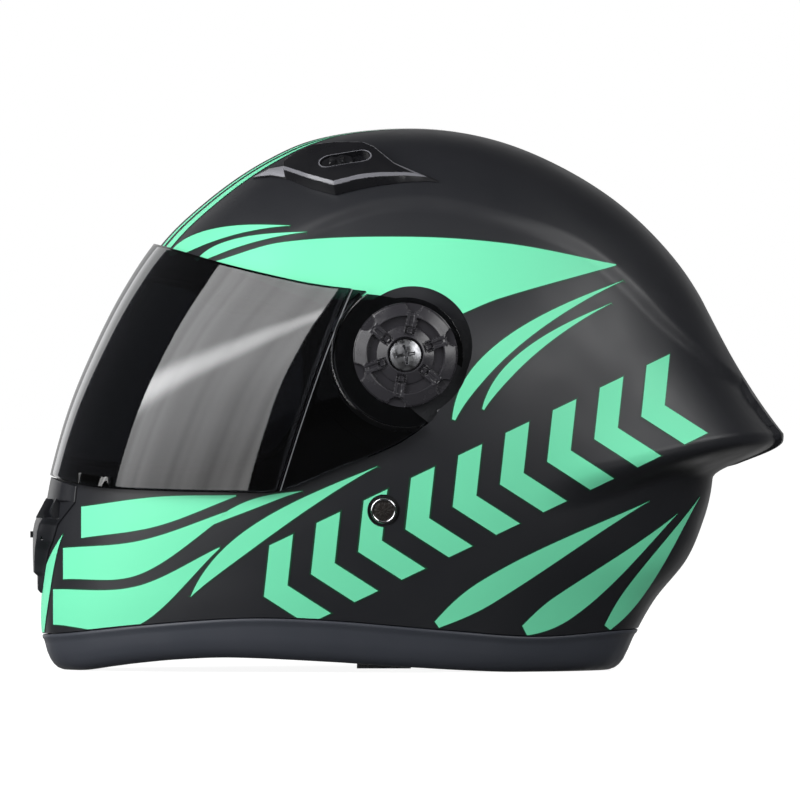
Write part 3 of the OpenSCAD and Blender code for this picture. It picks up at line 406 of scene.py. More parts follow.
def add_node(material, kind, settings=None, links=None, out=0):
    """Adds one shader node with its settings and its inputs set or linked, and gives its output."""
    made = material.node_tree.nodes.new(kind)
    for key, value in (settings or {}).items():
        setattr(made, key, value)
    for key, value in (links or {}).items():
        if isinstance(value, bpy.types.NodeSocket):
            material.node_tree.links.new(value, made.inputs[key])
        else:
            made.inputs[key].default_value = value
    return made.outputs[out]


def calculated(material, operation, *values):
    """Output of a math node on numbers and outputs."""
    return add_node(material, "ShaderNodeMath", {"operation": operation}, dict(enumerate(values)))


def part_of(material, vector, axis):
    """One part of a vector, with axis 0, 1 or 2."""
    return add_node(material, "ShaderNodeSeparateXYZ", None, {"Vector": vector}, out=axis)


def mapped(material, value, start, end, low, high, kind="LINEAR"):
    """A value taken from start..end to low..high and held beyond."""
    return add_node(material, "ShaderNodeMapRange", {"interpolation_type": kind},
                    {"Value": value, "From Min": start, "From Max": end, "To Min": low, "To Max": high})


def feed(material, socket, value):
    """Links an output to a socket of the material's Principled shader."""
    material.node_tree.links.new(value, material.node_tree.nodes["Principled BSDF"].inputs[socket])


def object_place(material):
    """Object coordinates, in metres."""
    return add_node(material, "ShaderNodeTexCoord", out=3)


def noise(material, size_mm, detail):
    """Noise whose lumps are size_mm across."""
    return add_node(material, "ShaderNodeTexNoise", None,
                    {"Vector": object_place(material), "Scale": 1 / (size_mm * MM), "Detail": detail})


def bump(material, height, height_mm, strength=1.0):
    """Lets a height between 0 and 1 raise the material's surface by height_mm."""
    feed(material, "Normal", add_node(material, "ShaderNodeBump", None,
                                      {"Strength": strength, "Distance": height_mm * MM, "Height": height}))


def new_material(name, colour, rough, ior=1.5, lumps=None, patches=None, **sockets):
    """A material with one Principled shader; a socket's name is given with underscores for spaces.

    Lumps are (size, height) of a fine relief in millimetres. Patches are (size, low, high) of softly
    changing roughness.
    """
    material = bpy.data.materials.new(name)
    material.use_nodes = True
    inputs = material.node_tree.nodes["Principled BSDF"].inputs
    inputs["Base Color"].default_value = linear(colour)
    for key, value in {"Roughness": rough, "IOR": ior, **sockets}.items():
        inputs[key.replace("_", " ")].default_value = value
    if lumps:
        bump(material, noise(material, lumps[0], 2.0), lumps[1])
    if patches:
        patchy = mapped(material, noise(material, patches[0], 3.0), 0.35, 0.65, *patches[1:])
        feed(material, "Roughness", patchy)
    return material


# Sprayed two-pack lacquer with a soft-touch top coat: even, dark, with a broad soft sheen and the
# faint orange peel that a spray gun leaves, about 2 mm from crest to crest.
lacquer = new_material("soft_touch_lacquer", "#232428", 0.42, lumps=(2.2, 0.006), patches=(28, 0.38, 0.46))
raw_plastic = new_material("bare_black_abs", "#161719", 0.6, 1.53, lumps=(1.2, 0.02))


def shell_net(columns, levels):
    """Net of (angle, depth) from the rim line to a closed pole by levels from 1 down, and its triangles."""
    angles = np.linspace(-180, 180, columns, endpoint=False)
    rows = len(levels)
    depths = depth(rim_line(rim_high, angles)) * levels[:, None]
    net = np.stack(np.broadcast_arrays(angles, depths), -1).reshape(-1, 2)
    last = (rows - 1) * columns + np.arange(columns)
    cap = np.stack([last, np.roll(last, -1), np.full(columns, rows * columns)], 1)
    return np.vstack([net, [0.0, 0.0]]), np.vstack([halved(grid_faces(rows, columns, True)), cap])


row_depths = [np.linspace(depth(a), depth(b), n, endpoint=False)
              for (a, n), (b, _) in zip(shell_row_heights, shell_row_heights[1:])]
shell_data, shell_faces = shell_net(shell_columns, np.concatenate(row_depths) / depth(20))
shell_data, shell_faces = keep_positive(shell_data, shell_faces, uncut(shell_surface(*shell_data.T)))
add_piece("shell", shell_surface(*shell_data.T), shell_faces, lacquer, "shell", node="outer_shell", sharp=70)
inner_data, inner_faces = shell_net(180, 1 - np.arange(64) / 64)
inner_data, inner_faces = keep_positive(inner_data, inner_faces, uncut(inside(*inner_data.T, shell_wall)))
add_piece("shell_inside", inside(*inner_data.T, shell_wall), inner_faces[:, ::-1], raw_plastic, "shell")


# Pocket of each pivot: part of the shell's moulding, a flat floor 10 mm below the widest point with a
# straight wall round it. The wall follows the pocket's outline, found along rays from the pivot.
side_width = -float(on_side(*pivot)[1])
floor_width = side_width - pocket_depth
rays = circle(np.radians(np.linspace(0, 360, 180, endpoint=False)))
near, far = np.full(180, 20.0), np.full(180, 75.0)
for _ in range(22):
    halfway = (near + far) / 2
    within = pocket_distance(pivot + rays * halfway[:, None]) < 0
    near, far = np.where(within, halfway, near), np.where(within, far, halfway)
pocket_rim = pivot + rays * (near - 0.04)[:, None]
rim_width = -on_side(*pocket_rim.T)[:, 1]
pocket_levels = ((1.0, 1.0), (1.0, 0.12), (0.985, 0.0), (0.6, 0.0), (0.1, 0.0))
pocket_rings = []
for scale, level in pocket_levels:
    ring = pivot + (pocket_rim - pivot) * scale
    width = floor_width + (rim_width - 0.35 - floor_width) * level
    pocket_rings.append(np.stack([ring[:, 0], -width, ring[:, 1]], 1))


def add_both(name, points, faces, material, slot, body="helmet", node="", **options):
    """A piece on the left and its mirror image on the right; {} in body or node stands for the side."""
    pieces = []
    for side, sign in (("left", 1), ("right", -1)):
        placed = np.asarray(points).reshape(-1, 3) * [1, sign, 1]
        pieces.append(add_piece(f"{name}_{side}", placed, np.asarray(faces)[:, ::sign], material, slot,
                                body.format(side), node.format(side), **options))
    return pieces


pocket_faces = grid_faces(len(pocket_levels), 180, True)
for pocket in add_both("pivot_pocket", pocket_rings, pocket_faces, lacquer, "shell", sharp=50):
    thickened(pocket, 1.2)


# Painted stripes: mint green sprayed through a mask over a slightly wider dark green edge, then sealed
# under the same top coat. They are thin skins that lie on the shell, a fraction of a millimetre above it.
edge_lift, mint_lift = 0.14, 0.24
edge_width = 0.55
net_step = 1.5
unroll_radius = 130.0
rim_margin, cut_margin = 0.3, 0.15
mint = new_material("mint_green_lacquer", "#7aeebc", 0.5, patches=(30, 0.42, 0.5), Specular_IOR_Level=0.3)
dark_green = new_material("dark_green_lacquer", "#14482e", 0.45)


def split_long(outline, step):
    """The outline with points added so that none of its sides is longer than a step."""
    made = []
    for a, b in zip(outline, np.roll(outline, -1, 0)):
        count = max(1, math.ceil(np.linalg.norm(b - a) / step))
        made.append(a + (b - a) * np.arange(count)[:, None] / count)
    return np.vstack(made)


def fill(outline):
    """Triangles that fill a closed outline, with its own points and a triangular net of points inside."""
    outline = split_long(outline, net_step)
    low, high = outline.min(0), outline.max(0)
    rows = np.arange(low[1], high[1], net_step * 0.866)
    columns = np.arange(low[0], high[0] + net_step, net_step)
    x = columns[None, :] + (np.arange(len(rows)) % 2)[:, None] * net_step / 2
    net = np.stack([x, np.broadcast_to(rows[:, None], x.shape)], -1).reshape(-1, 2)
    net = net[outline_distance(net, outline) < -0.45 * net_step]
    points = np.vstack([outline, net])
    n = len(outline)
    sides = [(i, (i + 1) % n) for i in range(n)]
    made = delaunay_2d_cdt([Vector(p) for p in points], sides, [], 0, 1e-4)
    points, faces = np.array([tuple(v) for v in made[0]]), np.array(made[2])
    middle = points[faces].mean(1)
    return points, faces[outline_distance(middle, outline) < 0]


def grown(outline, width):
    """The outline moved out by a width, with mitred corners up to three widths long."""
    side = unit(np.roll(outline, -1, 0) - outline)
    out = np.stack([side[:, 1], -side[:, 0]], 1)
    before = np.roll(out, 1, 0)
    both = unit(out + before)
    reach = np.minimum(width / np.maximum((both * out).sum(1), 0.33), 3 * width)
    return outline + both * reach[:, None]


def turned_left(outline):
    """The outline in counter-clockwise order, seen from the helmet's left."""
    x, z = np.asarray(outline, float).T
    area = (x * np.roll(z, -1) - np.roll(x, -1) * z).sum()
    return np.stack([x, z], 1)[::1 if area > 0 else -1]


def unrolled(outline):
    """An outline of (place, height) as (radius x plan angle, height), so that a net on it is even."""
    outline = split_long(turned_left(outline), 0.8)
    return np.stack([unroll_radius * np.radians(find_angle(*outline.T)), outline[:, 1]], 1)


def side_skin(outline, lift):
    """The fill of an unrolled outline laid on the left side, cut back from openings and rim."""
    points, faces = fill(outline)
    data = np.stack([np.degrees(points[:, 0] / unroll_radius), depth(points[:, 1])], 1)
    laid = shell_surface(*data.T)
    over_rim = laid[:, 2] - rim_line(rim_high, data[:, 0]) - rim_margin
    data, faces = keep_positive(data, faces, np.minimum(uncut(laid) - cut_margin, over_rim))
    return shell_surface(*data.T) + lift * surface_normal(shell_surface, *data.T), faces


def joined(parts):
    """Several (points, faces) as one."""
    starts = np.cumsum([0] + [len(p) for p, _ in parts[:-1]])
    return np.vstack([p for p, _ in parts]), np.vstack([f + s for (_, f), s in zip(parts, starts)])


def band(top, low):
    """Outline of a stripe between two smooth lines, each given by a few (place, height) rows."""
    x0, x1 = max(top[0][0], low[0][0]), min(top[-1][0], low[-1][0])
    x = np.linspace(x0, x1, 48)
    return np.vstack([np.stack([x, curve(low, x)], 1), np.stack([x, curve(top, x)], 1)[::-1]])


def blade(start, bend, end, width, full=0.35, blunt=0.0):
    """Outline of a tapered stripe on a bent middle line: widest at `full`, pointed at its end."""
    u = np.linspace(0, 1, 30)[:, None]
    start, bend, end = (np.array(p, float) for p in (start, bend, end))
    line = (1 - u) ** 2 * start + 2 * u * (1 - u) * bend + u**2 * end
    way = unit(np.gradient(line, axis=0))
    across = np.stack([-way[:, 1], way[:, 0]], 1)
    rise = blunt + (1 - blunt) * np.sin(np.clip(u / full, 0, 1) * math.pi / 2)
    fall = np.cos(np.clip((u - full) / (1 - full), 0, 1) * math.pi / 2) ** 1.2
    half = width / 2 * rise * fall
    return np.vstack([line - across * half, (line + across * half)[::-1]])


def chevron(place, along_deg, half_height, stroke, sweep):
    """Outline of an arrow stroke that points back down a slanted line."""
    way = circle(math.radians(along_deg))
    up = np.array([-way[1], way[0]])
    corners = ((-sweep, 0), (0, -half_height), (stroke, -half_height), (stroke - sweep, 0),
               (stroke, half_height), (0, half_height))
    return np.array([np.array(place) + a * way + b * up for a, b in corners])


side_stripes = [
    band(((-92, 197), (-60, 206), (0, 208.5), (50, 205), (100, 195.5)),
         ((-92, 196.5), (-60, 183), (-20, 170), (14, 168), (44, 179), (100, 195))),
    blade((-114, 200), (-96, 214), (-56, 214), 6.5, 0.25, 0.5),
    blade((-101, 197), (-86, 208.5), (-48, 211), 4.5, 0.3, 0.4),
    blade((22, 121), (32, 158), (104, 188), 8, 0.35, 0.2),
    blade((36, 126), (48, 154), (98, 177), 5.5, 0.35, 0.2),
    band(((-157, 79), (-120, 84), (-82, 85)), ((-157, 64), (-120, 70), (-82, 84.4))),
    band(((-166, 59), (-128, 63), (-84, 78)), ((-166, 44), (-128, 47), (-84, 77.4))),
    band(((-171, 39), (-130, 41), (-90, 60)), ((-171, 22), (-130, 22), (-90, 59.4))),
    blade((-177, 18), (-177, 46), (-166, 66), 5.5, 0.35, 0.5),
    blade((-104, 36), (-84, 66), (-14, 99), 9, 0.45),
    blade((-97, 69), (-78, 82), (-50, 87), 4.5, 0.5),
    blade((14, 23), (50, 48), (116, 82), 12, 0.3, 0.3),
    blade((56, 20), (84, 34), (130, 76), 13, 0.3, 0.4),
    blade((96, 21), (112, 40), (141, 84), 9, 0.35, 0.4),
]
band_start, band_rise, band_pitch = np.array([-57.0, 42.0]), 25.5, 25.0
band_way = circle(math.radians(band_rise))
side_stripes += [chevron(band_start + band_way * band_pitch * i, band_rise, 21, 12.5, 13) for i in range(9)]
mint_parts, edge_parts = [], []
for outline in side_stripes:
    outline = unrolled(outline)
    mint_parts.append(side_skin(outline, mint_lift))
    edge_parts.append(side_skin(grown(outline, edge_width), edge_lift))
for name, parts, material in (("mint_stripes", mint_parts, mint), ("dark_edges", edge_parts, dark_green)):
    add_both(name, *joined(parts), material, "shell")


# Stripes over the crown: one blade along the middle from the visor to the top and two on each side of it,
# all narrowing backwards.
def from_above(x, y):
    """Depth of the plain surface above a place and a distance from the middle, by halving."""
    low, high = np.zeros(len(x)), np.ones(len(x))
    for _ in range(30):
        t = (low + high) / 2
        share = plain_place(x, t)[1]
        level = share**plan_power + (np.abs(y) / np.maximum(curve(half_table, t), 1e-6)) ** plan_power
        high, low = np.where(level < 1, t, high), np.where(level < 1, low, t)
    return (low + high) / 2


def crown_skin(outline, lift):
    """The fill of an outline in the plan laid on the crown."""
    points, faces = fill(turned_left(outline))
    x, y = points.T
    t = from_above(x, y)
    middle, share, _ = plain_place(x, t)
    c = np.sign(middle - x) * share ** (plan_power / 2)
    s = -np.sign(y) * (np.abs(y) / np.maximum(curve(half_table, t), 1e-6)) ** (plan_power / 2)
    angle = np.degrees(np.arctan2(s, c))
    flat = np.stack([x, y, shell_height * (1 - t * t)], 1)
    return flat + lift * surface_normal(plain_surface, angle, t), faces


crown_mint, crown_edge = [], []
for middle_y, width, back in ((0, 11, 24), (17, 5, -2), (-17, 5, -2), (27, 8, -34), (-27, 8, -34)):
    stripe = blade((-136, middle_y * 1.25), (-70, middle_y * 1.15), (back, middle_y * 0.7), width, 0.2, 0.9)
    crown_mint.append(crown_skin(stripe, mint_lift))
    crown_edge.append(crown_skin(grown(split_long(turned_left(stripe), net_step), edge_width), edge_lift))
add_piece("crown_stripes", *joined(crown_mint), mint, "shell")
add_piece("crown_stripe_edges", *joined(crown_edge), dark_green, "shell")


# Rim moulding: an extruded and bonded strip of satin bluish-grey polyurethane that closes the shell's
# lower edge. Its section is a soft bulge outside, a flat foot and a tongue that reaches up inside.
rim_thickness = 9.0
tongue_height, tongue_thickness = 7.0, 2.4
seam = 0.4
rim_rubber = new_material("satin_polyurethane", "#3d4048", 0.5, lumps=(0.9, 0.012), patches=(20, 0.42, 0.55))


def rim_point(angle, d, z):
    """Point at a level distance d in from the shell at height z, square to the shell's wall there."""
    t = depth(z)
    p = plain_surface(angle, t)
    n = surface_normal(plain_surface, angle, t)[..., :2]
    return p - np.concatenate([n * (d / (n * n).sum(-1))[..., None], np.zeros_like(p[..., :1])], -1)


ring_angles = np.linspace(-180, 180, 300, endpoint=False)
rim_top, rim_foot = rim_line(rim_high, ring_angles), np.maximum(0, rim_line(rim_low, ring_angles))
rim_half = (rim_top + rim_foot) / 2
tongue_in = shell_wall + seam
tongue_out = tongue_in + tongue_thickness
tongue_top = rim_top + tongue_height
rim_section = ((0.9, rim_top - seam), (0.15, rim_top - seam - 0.15), (-0.25, rim_top - 1.1),
               (-0.3, rim_top - 2.2), (0.1, rim_top - 2.9), (0.15, rim_top - 5), (0.0, rim_half),
               (0.4, rim_foot + 5), (1.3, rim_foot + 2.6), (2.6, rim_foot + 1.0), (4.4, rim_foot + 0.15),
               (5.0, rim_foot), (rim_thickness - 2, rim_foot), (rim_thickness - 0.9, rim_foot + 0.5),
               (rim_thickness, rim_foot + 2), (rim_thickness - 0.2, rim_half),
               (rim_thickness - 0.9, rim_top - 5), (tongue_out, rim_top - 2), (tongue_out, tongue_top - 0.6),
               (tongue_in + tongue_thickness / 2, tongue_top), (tongue_in, tongue_top - 0.6),
               (tongue_in, rim_top - seam))
rim_rings = [rim_point(ring_angles, np.full(len(ring_angles), d), z) for d, z in rim_section]
rim_faces = tube_faces(len(rim_section), len(ring_angles))[:, ::-1]
add_piece("rim_moulding", rim_rings, rim_faces, rim_rubber, "rim", node="edge_trim", sharp=70)


# Eyeport gasket: an extruded EPDM strip pushed over the shell's edge all round the eyeport, with a
# soft bead that the shut visor presses on.
gasket_rubber = new_material("epdm_rubber", "#151517", 0.62, lumps=(0.5, 0.02))


def eyeport_place(point):
    """Point of the left side at an (x, z) on the eyeport's edge, on the plain surface."""
    t = depth(point[:, 1])
    return np.stack([point[:, 0], -curve(half_table, t) * plain_place(point[:, 0], t)[2], point[:, 1]], 1)


edge_path = eyeport_place(eyeport_edge)
edge_path = np.vstack([edge_path, edge_path[1:-1][::-1] * [1, -1, 1]])
edge_way = unit(np.roll(edge_path, -1, 0) - np.roll(edge_path, 1, 0))
side_slope = unit(np.gradient(eyeport_edge, axis=0))
edge_in = np.stack([side_slope[:, 1], 0 * side_slope[:, 0], -side_slope[:, 0]], 1)
edge_in = np.vstack([edge_in, edge_in[1:-1][::-1]])
edge_out = unit(np.cross(edge_way, edge_in))
outward = np.sign((edge_out * (edge_path - [10, 0, 140])).sum(1))
edge_out *= outward[:, None]
bead = [(0.35, -4.9), (2.8, -4.9), (3.0, -3.6), (2.6, -1.2)]
bead += [(1.75 + 1.25 * x, -0.95 + 1.2 * z) for x, z in circle(np.radians(np.arange(0, 181, 30)))]
gasket_rings = [edge_path + a * edge_in + b * edge_out for a, b in bead]
add_piece("gasket", gasket_rings, tube_faces(len(bead), len(edge_path)), gasket_rubber, "gasket",
          node="eyeport_gasket", sharp=50)


# Impact liner: one moulding of expanded polystyrene beads, coloured black, 32 mm thick. Its bare edge
# shows round the crown pad.
liner_gap = 0.4
liner_out = shell_wall + liner_gap + 0.95
liner_thickness = 32.0
liner_low_rows = ((0, 198), (45, 190), (62, 180), (75, 167), (84, 140), (90, 119), (100, 112), (115, 92),
                  (130, 80), (180, 76))
bead_foam = new_material("black_bead_foam", "#1d1e21", 0.85, 1.45)
cells = add_node(bead_foam, "ShaderNodeTexVoronoi", {"feature": "DISTANCE_TO_EDGE"},
                 {"Vector": object_place(bead_foam), "Scale": 1 / (3.2 * MM)})
bump(bead_foam, cells, 0.5, 0.7)


def closed_slab(outer, inner, loop=False):
    """Closed body between two grids of points; loop joins the last column to the first."""
    rows, columns = outer.shape[:2]
    skin = grid_faces(rows, columns, loop)
    n = rows * columns
    last = columns if loop else columns - 1
    i = np.arange(last)
    k = (i + 1) % columns
    low = np.stack([i, i + n, k + n, k], 1)
    top_row = (rows - 1) * columns
    high = np.stack([i, k, k + n, i + n], 1) + top_row
    faces = [skin, skin[:, ::-1] + n, low, high]
    if not loop:
        j = np.arange(rows - 1) * columns
        left = np.stack([j, j + columns, j + columns + n, j + n], 1)
        right = np.stack([j, j + n, j + columns + n, j + columns], 1) + columns - 1
        faces += [left, right]
    return np.concatenate([outer.reshape(-1, 3), inner.reshape(-1, 3)]), np.vstack(faces)


def liner_foot(angle):
    """Height of the liner's lower edge at a plan angle."""
    return curve(liner_low_rows, np.abs(angle))


liner_angles = np.linspace(-180, 180, 144, endpoint=False)
liner_share = np.linspace(0, 0.985, 44)[:, None]
liner_t = depth(liner_foot(liner_angles)) * (1 - liner_share)
liner_a = np.broadcast_to(liner_angles, liner_t.shape)
liner_skins = [inside(liner_a, liner_t, d) for d in (liner_out, liner_out + liner_thickness)]
add_piece("liner", *closed_slab(*liner_skins, True), bead_foam, "liner_foam", node="impact_liner", sharp=50)


# Lining: cushions of cut foam in brushed and knitted polyester, sewn with piped seams. A cloth simulation
# fills each of them out between its glued back and its piped border, and its sewn channels are then
# pressed in. They hold the head, and the cheek pads snap off on press studs.
def knit(name, colour, stitch_mm, height_mm):
    """Knitted polyester: rows of small loops round the head, stitch_mm apart, with a soft sheen."""
    cloth = new_material(name, colour, 0.9, 1.45, Sheen_Weight=0.35, Sheen_Roughness=0.5)
    x, y, z = (part_of(cloth, object_place(cloth), axis) for axis in range(3))
    around = calculated(cloth, "MULTIPLY", calculated(cloth, "ARCTAN2", y, x), 100 * MM)
    loops = []
    for place in (around, z):
        row = add_node(cloth, "ShaderNodeCombineXYZ", None, {"X": place})
        loops.append(add_node(cloth, "ShaderNodeTexWave", {"bands_direction": "X"},
                              {"Vector": row, "Scale": math.pi / 10 / (stitch_mm * MM), "Distortion": 0.4}))
    bump(cloth, calculated(cloth, "MULTIPLY", *loops), height_mm, 0.8)
    return cloth


lining_knit = knit("black_polyester_knit", "#17181b", 1.6, 0.35)
lining_plush = knit("charcoal_brushed_knit", "#24262b", 1.1, 0.25)
piping_cloth = new_material("piping_cord", "#3a3d44", 0.7, lumps=(0.6, 0.05), Sheen_Weight=0.3)
crown_pad_thickness = 8.5
crown_d = liner_out + liner_thickness + liner_gap
foam_pressure = 4.0
settle_frames = 20
held_within = 2.2


def loft(path, radius):
    """Round cord of ten sides on a closed path of points."""
    way = unit(np.roll(path, -1, 0) - np.roll(path, 1, 0))
    across = unit(np.cross(way, np.broadcast_to([0.31, 0.17, 0.94], way.shape)))
    up = np.cross(across, way)
    turns = np.radians(np.arange(0, 360, 36))[:, None, None]
    rings = path + radius * (np.cos(turns) * across + np.sin(turns) * up)
    return rings.reshape(-1, 3), tube_faces(len(turns), len(path))


def places(mesh):
    """Places of a mesh's points, in millimetres."""
    flat = np.empty(len(mesh.vertices) * 3)
    mesh.vertices.foreach_get("co", flat)
    return flat.reshape(-1, 3) / MM


def baked(piece):
    """The piece with its modifiers applied to its mesh."""
    made = bpy.data.meshes.new_from_object(piece.evaluated_get(bpy.context.evaluated_depsgraph_get()))
    old, piece.data = piece.data, made
    piece.modifiers.clear()
    bpy.data.meshes.remove(old)
    return piece


def distance_from(still, points):
    """Distance of each point from the nearest of the still places."""
    tree = KDTree(len(still))
    for i, place in enumerate(still):
        tree.insert(place, i)
    tree.balance()
    return np.array([tree.find(place)[2] for place in points])


def filled_out(piece, still, voxel, cap):
    """Cloth simulation of a cushion under the pressure of its foam.

    Points near the still places don't move, and no other point moves further than the cap.
    """
    remesh = piece.modifiers.new("remesh", "REMESH")
    remesh.mode = "VOXEL"
    remesh.voxel_size = voxel * MM
    remesh.use_smooth_shade = True
    start = places(baked(piece).data)
    held = piece.vertex_groups.new(name="held")
    held.add(np.flatnonzero(distance_from(still, start) < held_within).tolist(), 1.0, "REPLACE")
    cloth = piece.modifiers.new("cloth", "CLOTH")
    cloth.settings.quality = 5
    cloth.settings.use_pressure = True
    cloth.settings.uniform_pressure_force = foam_pressure
    cloth.settings.effector_weights.gravity = 0
    cloth.settings.vertex_group_mass = "held"
    cloth.point_cache.frame_start, cloth.point_cache.frame_end = 1, settle_frames
    for moment in range(1, settle_frames + 1):
        bpy.context.scene.frame_set(moment)
    move = places(baked(piece).data) - start
    bpy.context.scene.frame_set(1)
    piece.vertex_groups.clear()
    far = np.linalg.norm(move, axis=1, keepdims=True)
    capped = start + move * cap * np.tanh(far / cap) / np.maximum(far, 1e-9)
    piece.data.vertices.foreach_set("co", (capped * MM).ravel())
    piece.data.update()
    finer = piece.modifiers.new("finer", "SUBSURF")
    finer.levels = finer.render_levels = 1
    baked(piece)


def channelled(piece, deep, wide, distance, still):
    """Presses sewn channels into a cushion, where distance(points) is small and the back isn't near."""
    points = places(piece.data)
    normals = np.empty(len(piece.data.vertices) * 3)
    piece.data.vertices.foreach_get("normal", normals)
    free = smooth((distance_from(still, points) - 1.5) / 5)
    press = deep * np.exp(-(distance(points) / wide) ** 2) * free
    points -= press[:, None] * normals.reshape(-1, 3)
    piece.data.vertices.foreach_set("co", (points * MM).ravel())
    piece.data.update()


crown_angles = np.linspace(-180, 180, 192, endpoint=False)
crown_share = np.linspace(0, 0.985, 48)[:, None]
crown_t = depth(liner_foot(crown_angles)) * (1 - crown_share)
crown_a = np.broadcast_to(crown_angles, crown_t.shape)
hem = np.clip(crown_share / 0.06, 0, 1) ** 0.5
crown_back = inside(crown_a, crown_t, crown_d)
crown_face = inside(crown_a, crown_t, crown_d + crown_pad_thickness * (0.45 + 0.45 * hem))
crown_pad = add_piece("crown_cushion", *closed_slab(crown_back, crown_face, True), lining_plush, "lining",
                      node="crown_pad", sharp=60)


def crown_seams(points):
    """Distance to the crown pad's seams: six that part its petals, and one ring round its middle."""
    x, y = points[:, 0] - 4, points[:, 1]
    r, turn = np.hypot(x, y), np.arctan2(y, x)
    petal = r * np.abs(np.sin(turn - np.round(turn / (math.pi / 3)) * math.pi / 3))
    ring_radius = 38
    return np.minimum(np.abs(r - ring_radius), np.where(r > ring_radius, petal, 99))


filled_out(crown_pad, crown_back.reshape(-1, 3), 3.6, 1.2)
channelled(crown_pad, 2.6, 2.4, crown_seams, crown_back.reshape(-1, 3))


def cushion(name, node, angles, low, high, d, thickness, material, columns=64, cap=3.0, hollow=None,
            seam_at=None):
    """Cushion between two plan angles and two heights: its face swells from its edges to full thickness."""
    u = np.linspace(0, 1, columns)[None, :]
    v = np.linspace(0, 1, 40)[:, None]
    angle = angles[0] + (angles[1] - angles[0]) * u + 0 * v
    foot = low + 0 * angle
    z = foot + (high(angle) - foot) * v
    swell = ((1 - np.abs(2 * u - 1) ** 4) * (1 - np.abs(2 * v - 1) ** 4)) ** 0.8
    if hollow:
        swell = swell * hollow(u, v)
    side = np.array([1, -1 if name.endswith("_right") else 1, 1])
    back = inside(angle, depth(z), d) * side
    face = inside(angle, depth(z), d + thickness * (0.3 + 0.7 * swell)) * side
    points, faces = closed_slab(back, face)
    made = add_piece(name, points, faces[:, ::side[1]], material, "lining", node=node, sharp=55)
    border = np.concatenate([face[0, :-1], face[:-1, -1], face[-1, :0:-1], face[:0:-1, 0]])
    still = np.vstack([back.reshape(-1, 3), border])
    filled_out(made, still, 4.0, cap)
    if seam_at:
        channelled(made, 3.2, 2.6, seam_at, still)
    add_piece(name + "_piping", *loft(border, 1.1), piping_cloth, "lining")


def ear_hollow(u, v):
    """A hollow for the ear at the rear of the pad."""
    return 1 - 0.42 * np.exp(-(((u - 0.78) / 0.16) ** 2 + ((v - 0.62) / 0.3) ** 2))


def cheek_seam(points):
    """Distance to a slanted line across the front of a cheek pad, seen from the side."""
    return points[:, 0] + 65 - 0.28 * (points[:, 2] - 32)


cheek_top_rows = ((48, 84), (60, 95), (75, 104), (90, 106), (103, 98))
for side in ("left", "right"):
    cushion(f"cheek_cushion_{side}", f"cheek_pad_{side}", (48, 103), 32,
            lambda a: straight(cheek_top_rows, a), shell_wall + 5.6, 25.5, lining_plush, hollow=ear_hollow,
            seam_at=cheek_seam)


def neck_seams(points):
    """Distance to the two channels that part the neck roll in three."""
    x, y = points[:, 0] - 10, points[:, 1]
    return np.hypot(x, y) * np.abs(np.arctan2(np.abs(y), x) - math.radians(23))


cushion("neck_cushion", "neck_roll", (111, 249), 24, lambda a: 62 + 0 * a,
        shell_wall + seam + tongue_thickness + 0.6, 19.5, lining_knit, columns=120, cap=2.5,
        seam_at=neck_seams)
cushion("chin_cushion", "chin_liner", (-42, 42), 33, lambda a: 88 + 0 * a, liner_out, 15.0, lining_knit,
        columns=90, cap=2.0)


# Breath guard: a flap of moulded rubber that stands on the chin liner and turns the breath down.
guard_half_angle, guard_low, guard_height, guard_dip = 24, 62, 46, 10
guard_u = np.linspace(-guard_half_angle, guard_half_angle, 50)[None, :]
guard_v = np.linspace(0, 1, 20)[:, None]
guard_z = guard_low + (guard_height - guard_dip * (guard_u / guard_half_angle) ** 2) * guard_v
guard_d = liner_out + 17.3
guard_rib = 0.5 * np.cos(guard_u / guard_half_angle * math.pi * 6) * smooth((guard_v - 0.25) / 0.3)
guard_a = guard_u + 0 * guard_v
guard_skins = [inside(guard_a, depth(guard_z), guard_d + d) for d in (0 * guard_z, 1.5 + guard_rib)]
add_piece("breath_flap", *closed_slab(*guard_skins), gasket_rubber, "gasket", node="breath_guard")


# Visor: injection moulded polycarbonate, 2.4 mm thick, tinted dark grey right through and hard-coated.
# Its front stands a little proud of two flat side panels, and each panel ends in a round eye.
visor_thickness = 2.4
visor_gap = 1.0
panel_lift = 0.4
step_rise = 0.9
step_run = 0.4
step_top_x, step_low_x = -26.0, -60.0
panel_rear = 12.0
flat_width = floor_width + 2.2 + 0.3
flat_radius = 34.5
eye_radius = 27.5
boss_radius = 9.0
smoke = new_material("smoked_polycarbonate", "#3f4146", 0.03, 1.585, Transmission_Weight=1.0)
# The step faces are painted light grey: a painted highlight for the glint along the step's edge, not a colour
# of the polycarbonate.
step_highlight = new_material("painted_highlight_step", "#9b9da1", 0.25, 1.585, patches=(8, 0.2, 0.35))
# Opaque near-black for the eye's wall: painted shade where the same smoked moulding would catch a glint.
eye_wall_shade = new_material("painted_shade_eye_wall", "#0b0b0c", 0.3, 1.585, patches=(8, 0.25, 0.4))


def on_plain_side(x, z, d):
    """Point of the left side without ridge and tail at place x and height z, lifted d off it."""
    t = depth(z)
    middle, share, level = plain_place(x, t)
    angle = np.degrees(np.arctan2(level ** (plan_power / 2), np.sign(middle - x) * share ** (plan_power / 2)))
    return (np.stack([x, -curve(half_table, t) * level, z], -1)
            + np.asarray(d)[..., None] * surface_normal(plain_surface, angle, t))


eye_heel = np.array([(0, 150), (0, 113.8), (11.9, 121.9), (19.2, 130), (24.6, 142)], float)


def panel_distance(places):
    """Signed distance from side places to the outline of the visor behind its step, negative inside it."""
    x, z = np.minimum(places[:, 0], panel_rear), places[:, 1]
    low, top = curve(visor_low_rows, x), curve(visor_top_rows, x)
    panel = np.maximum.reduce([places[:, 0] - panel_rear, low - z, z - top])
    eye = np.hypot(*(places - pivot).T) - eye_radius
    return np.minimum.reduce([panel, eye, outline_distance(places, eye_heel)])


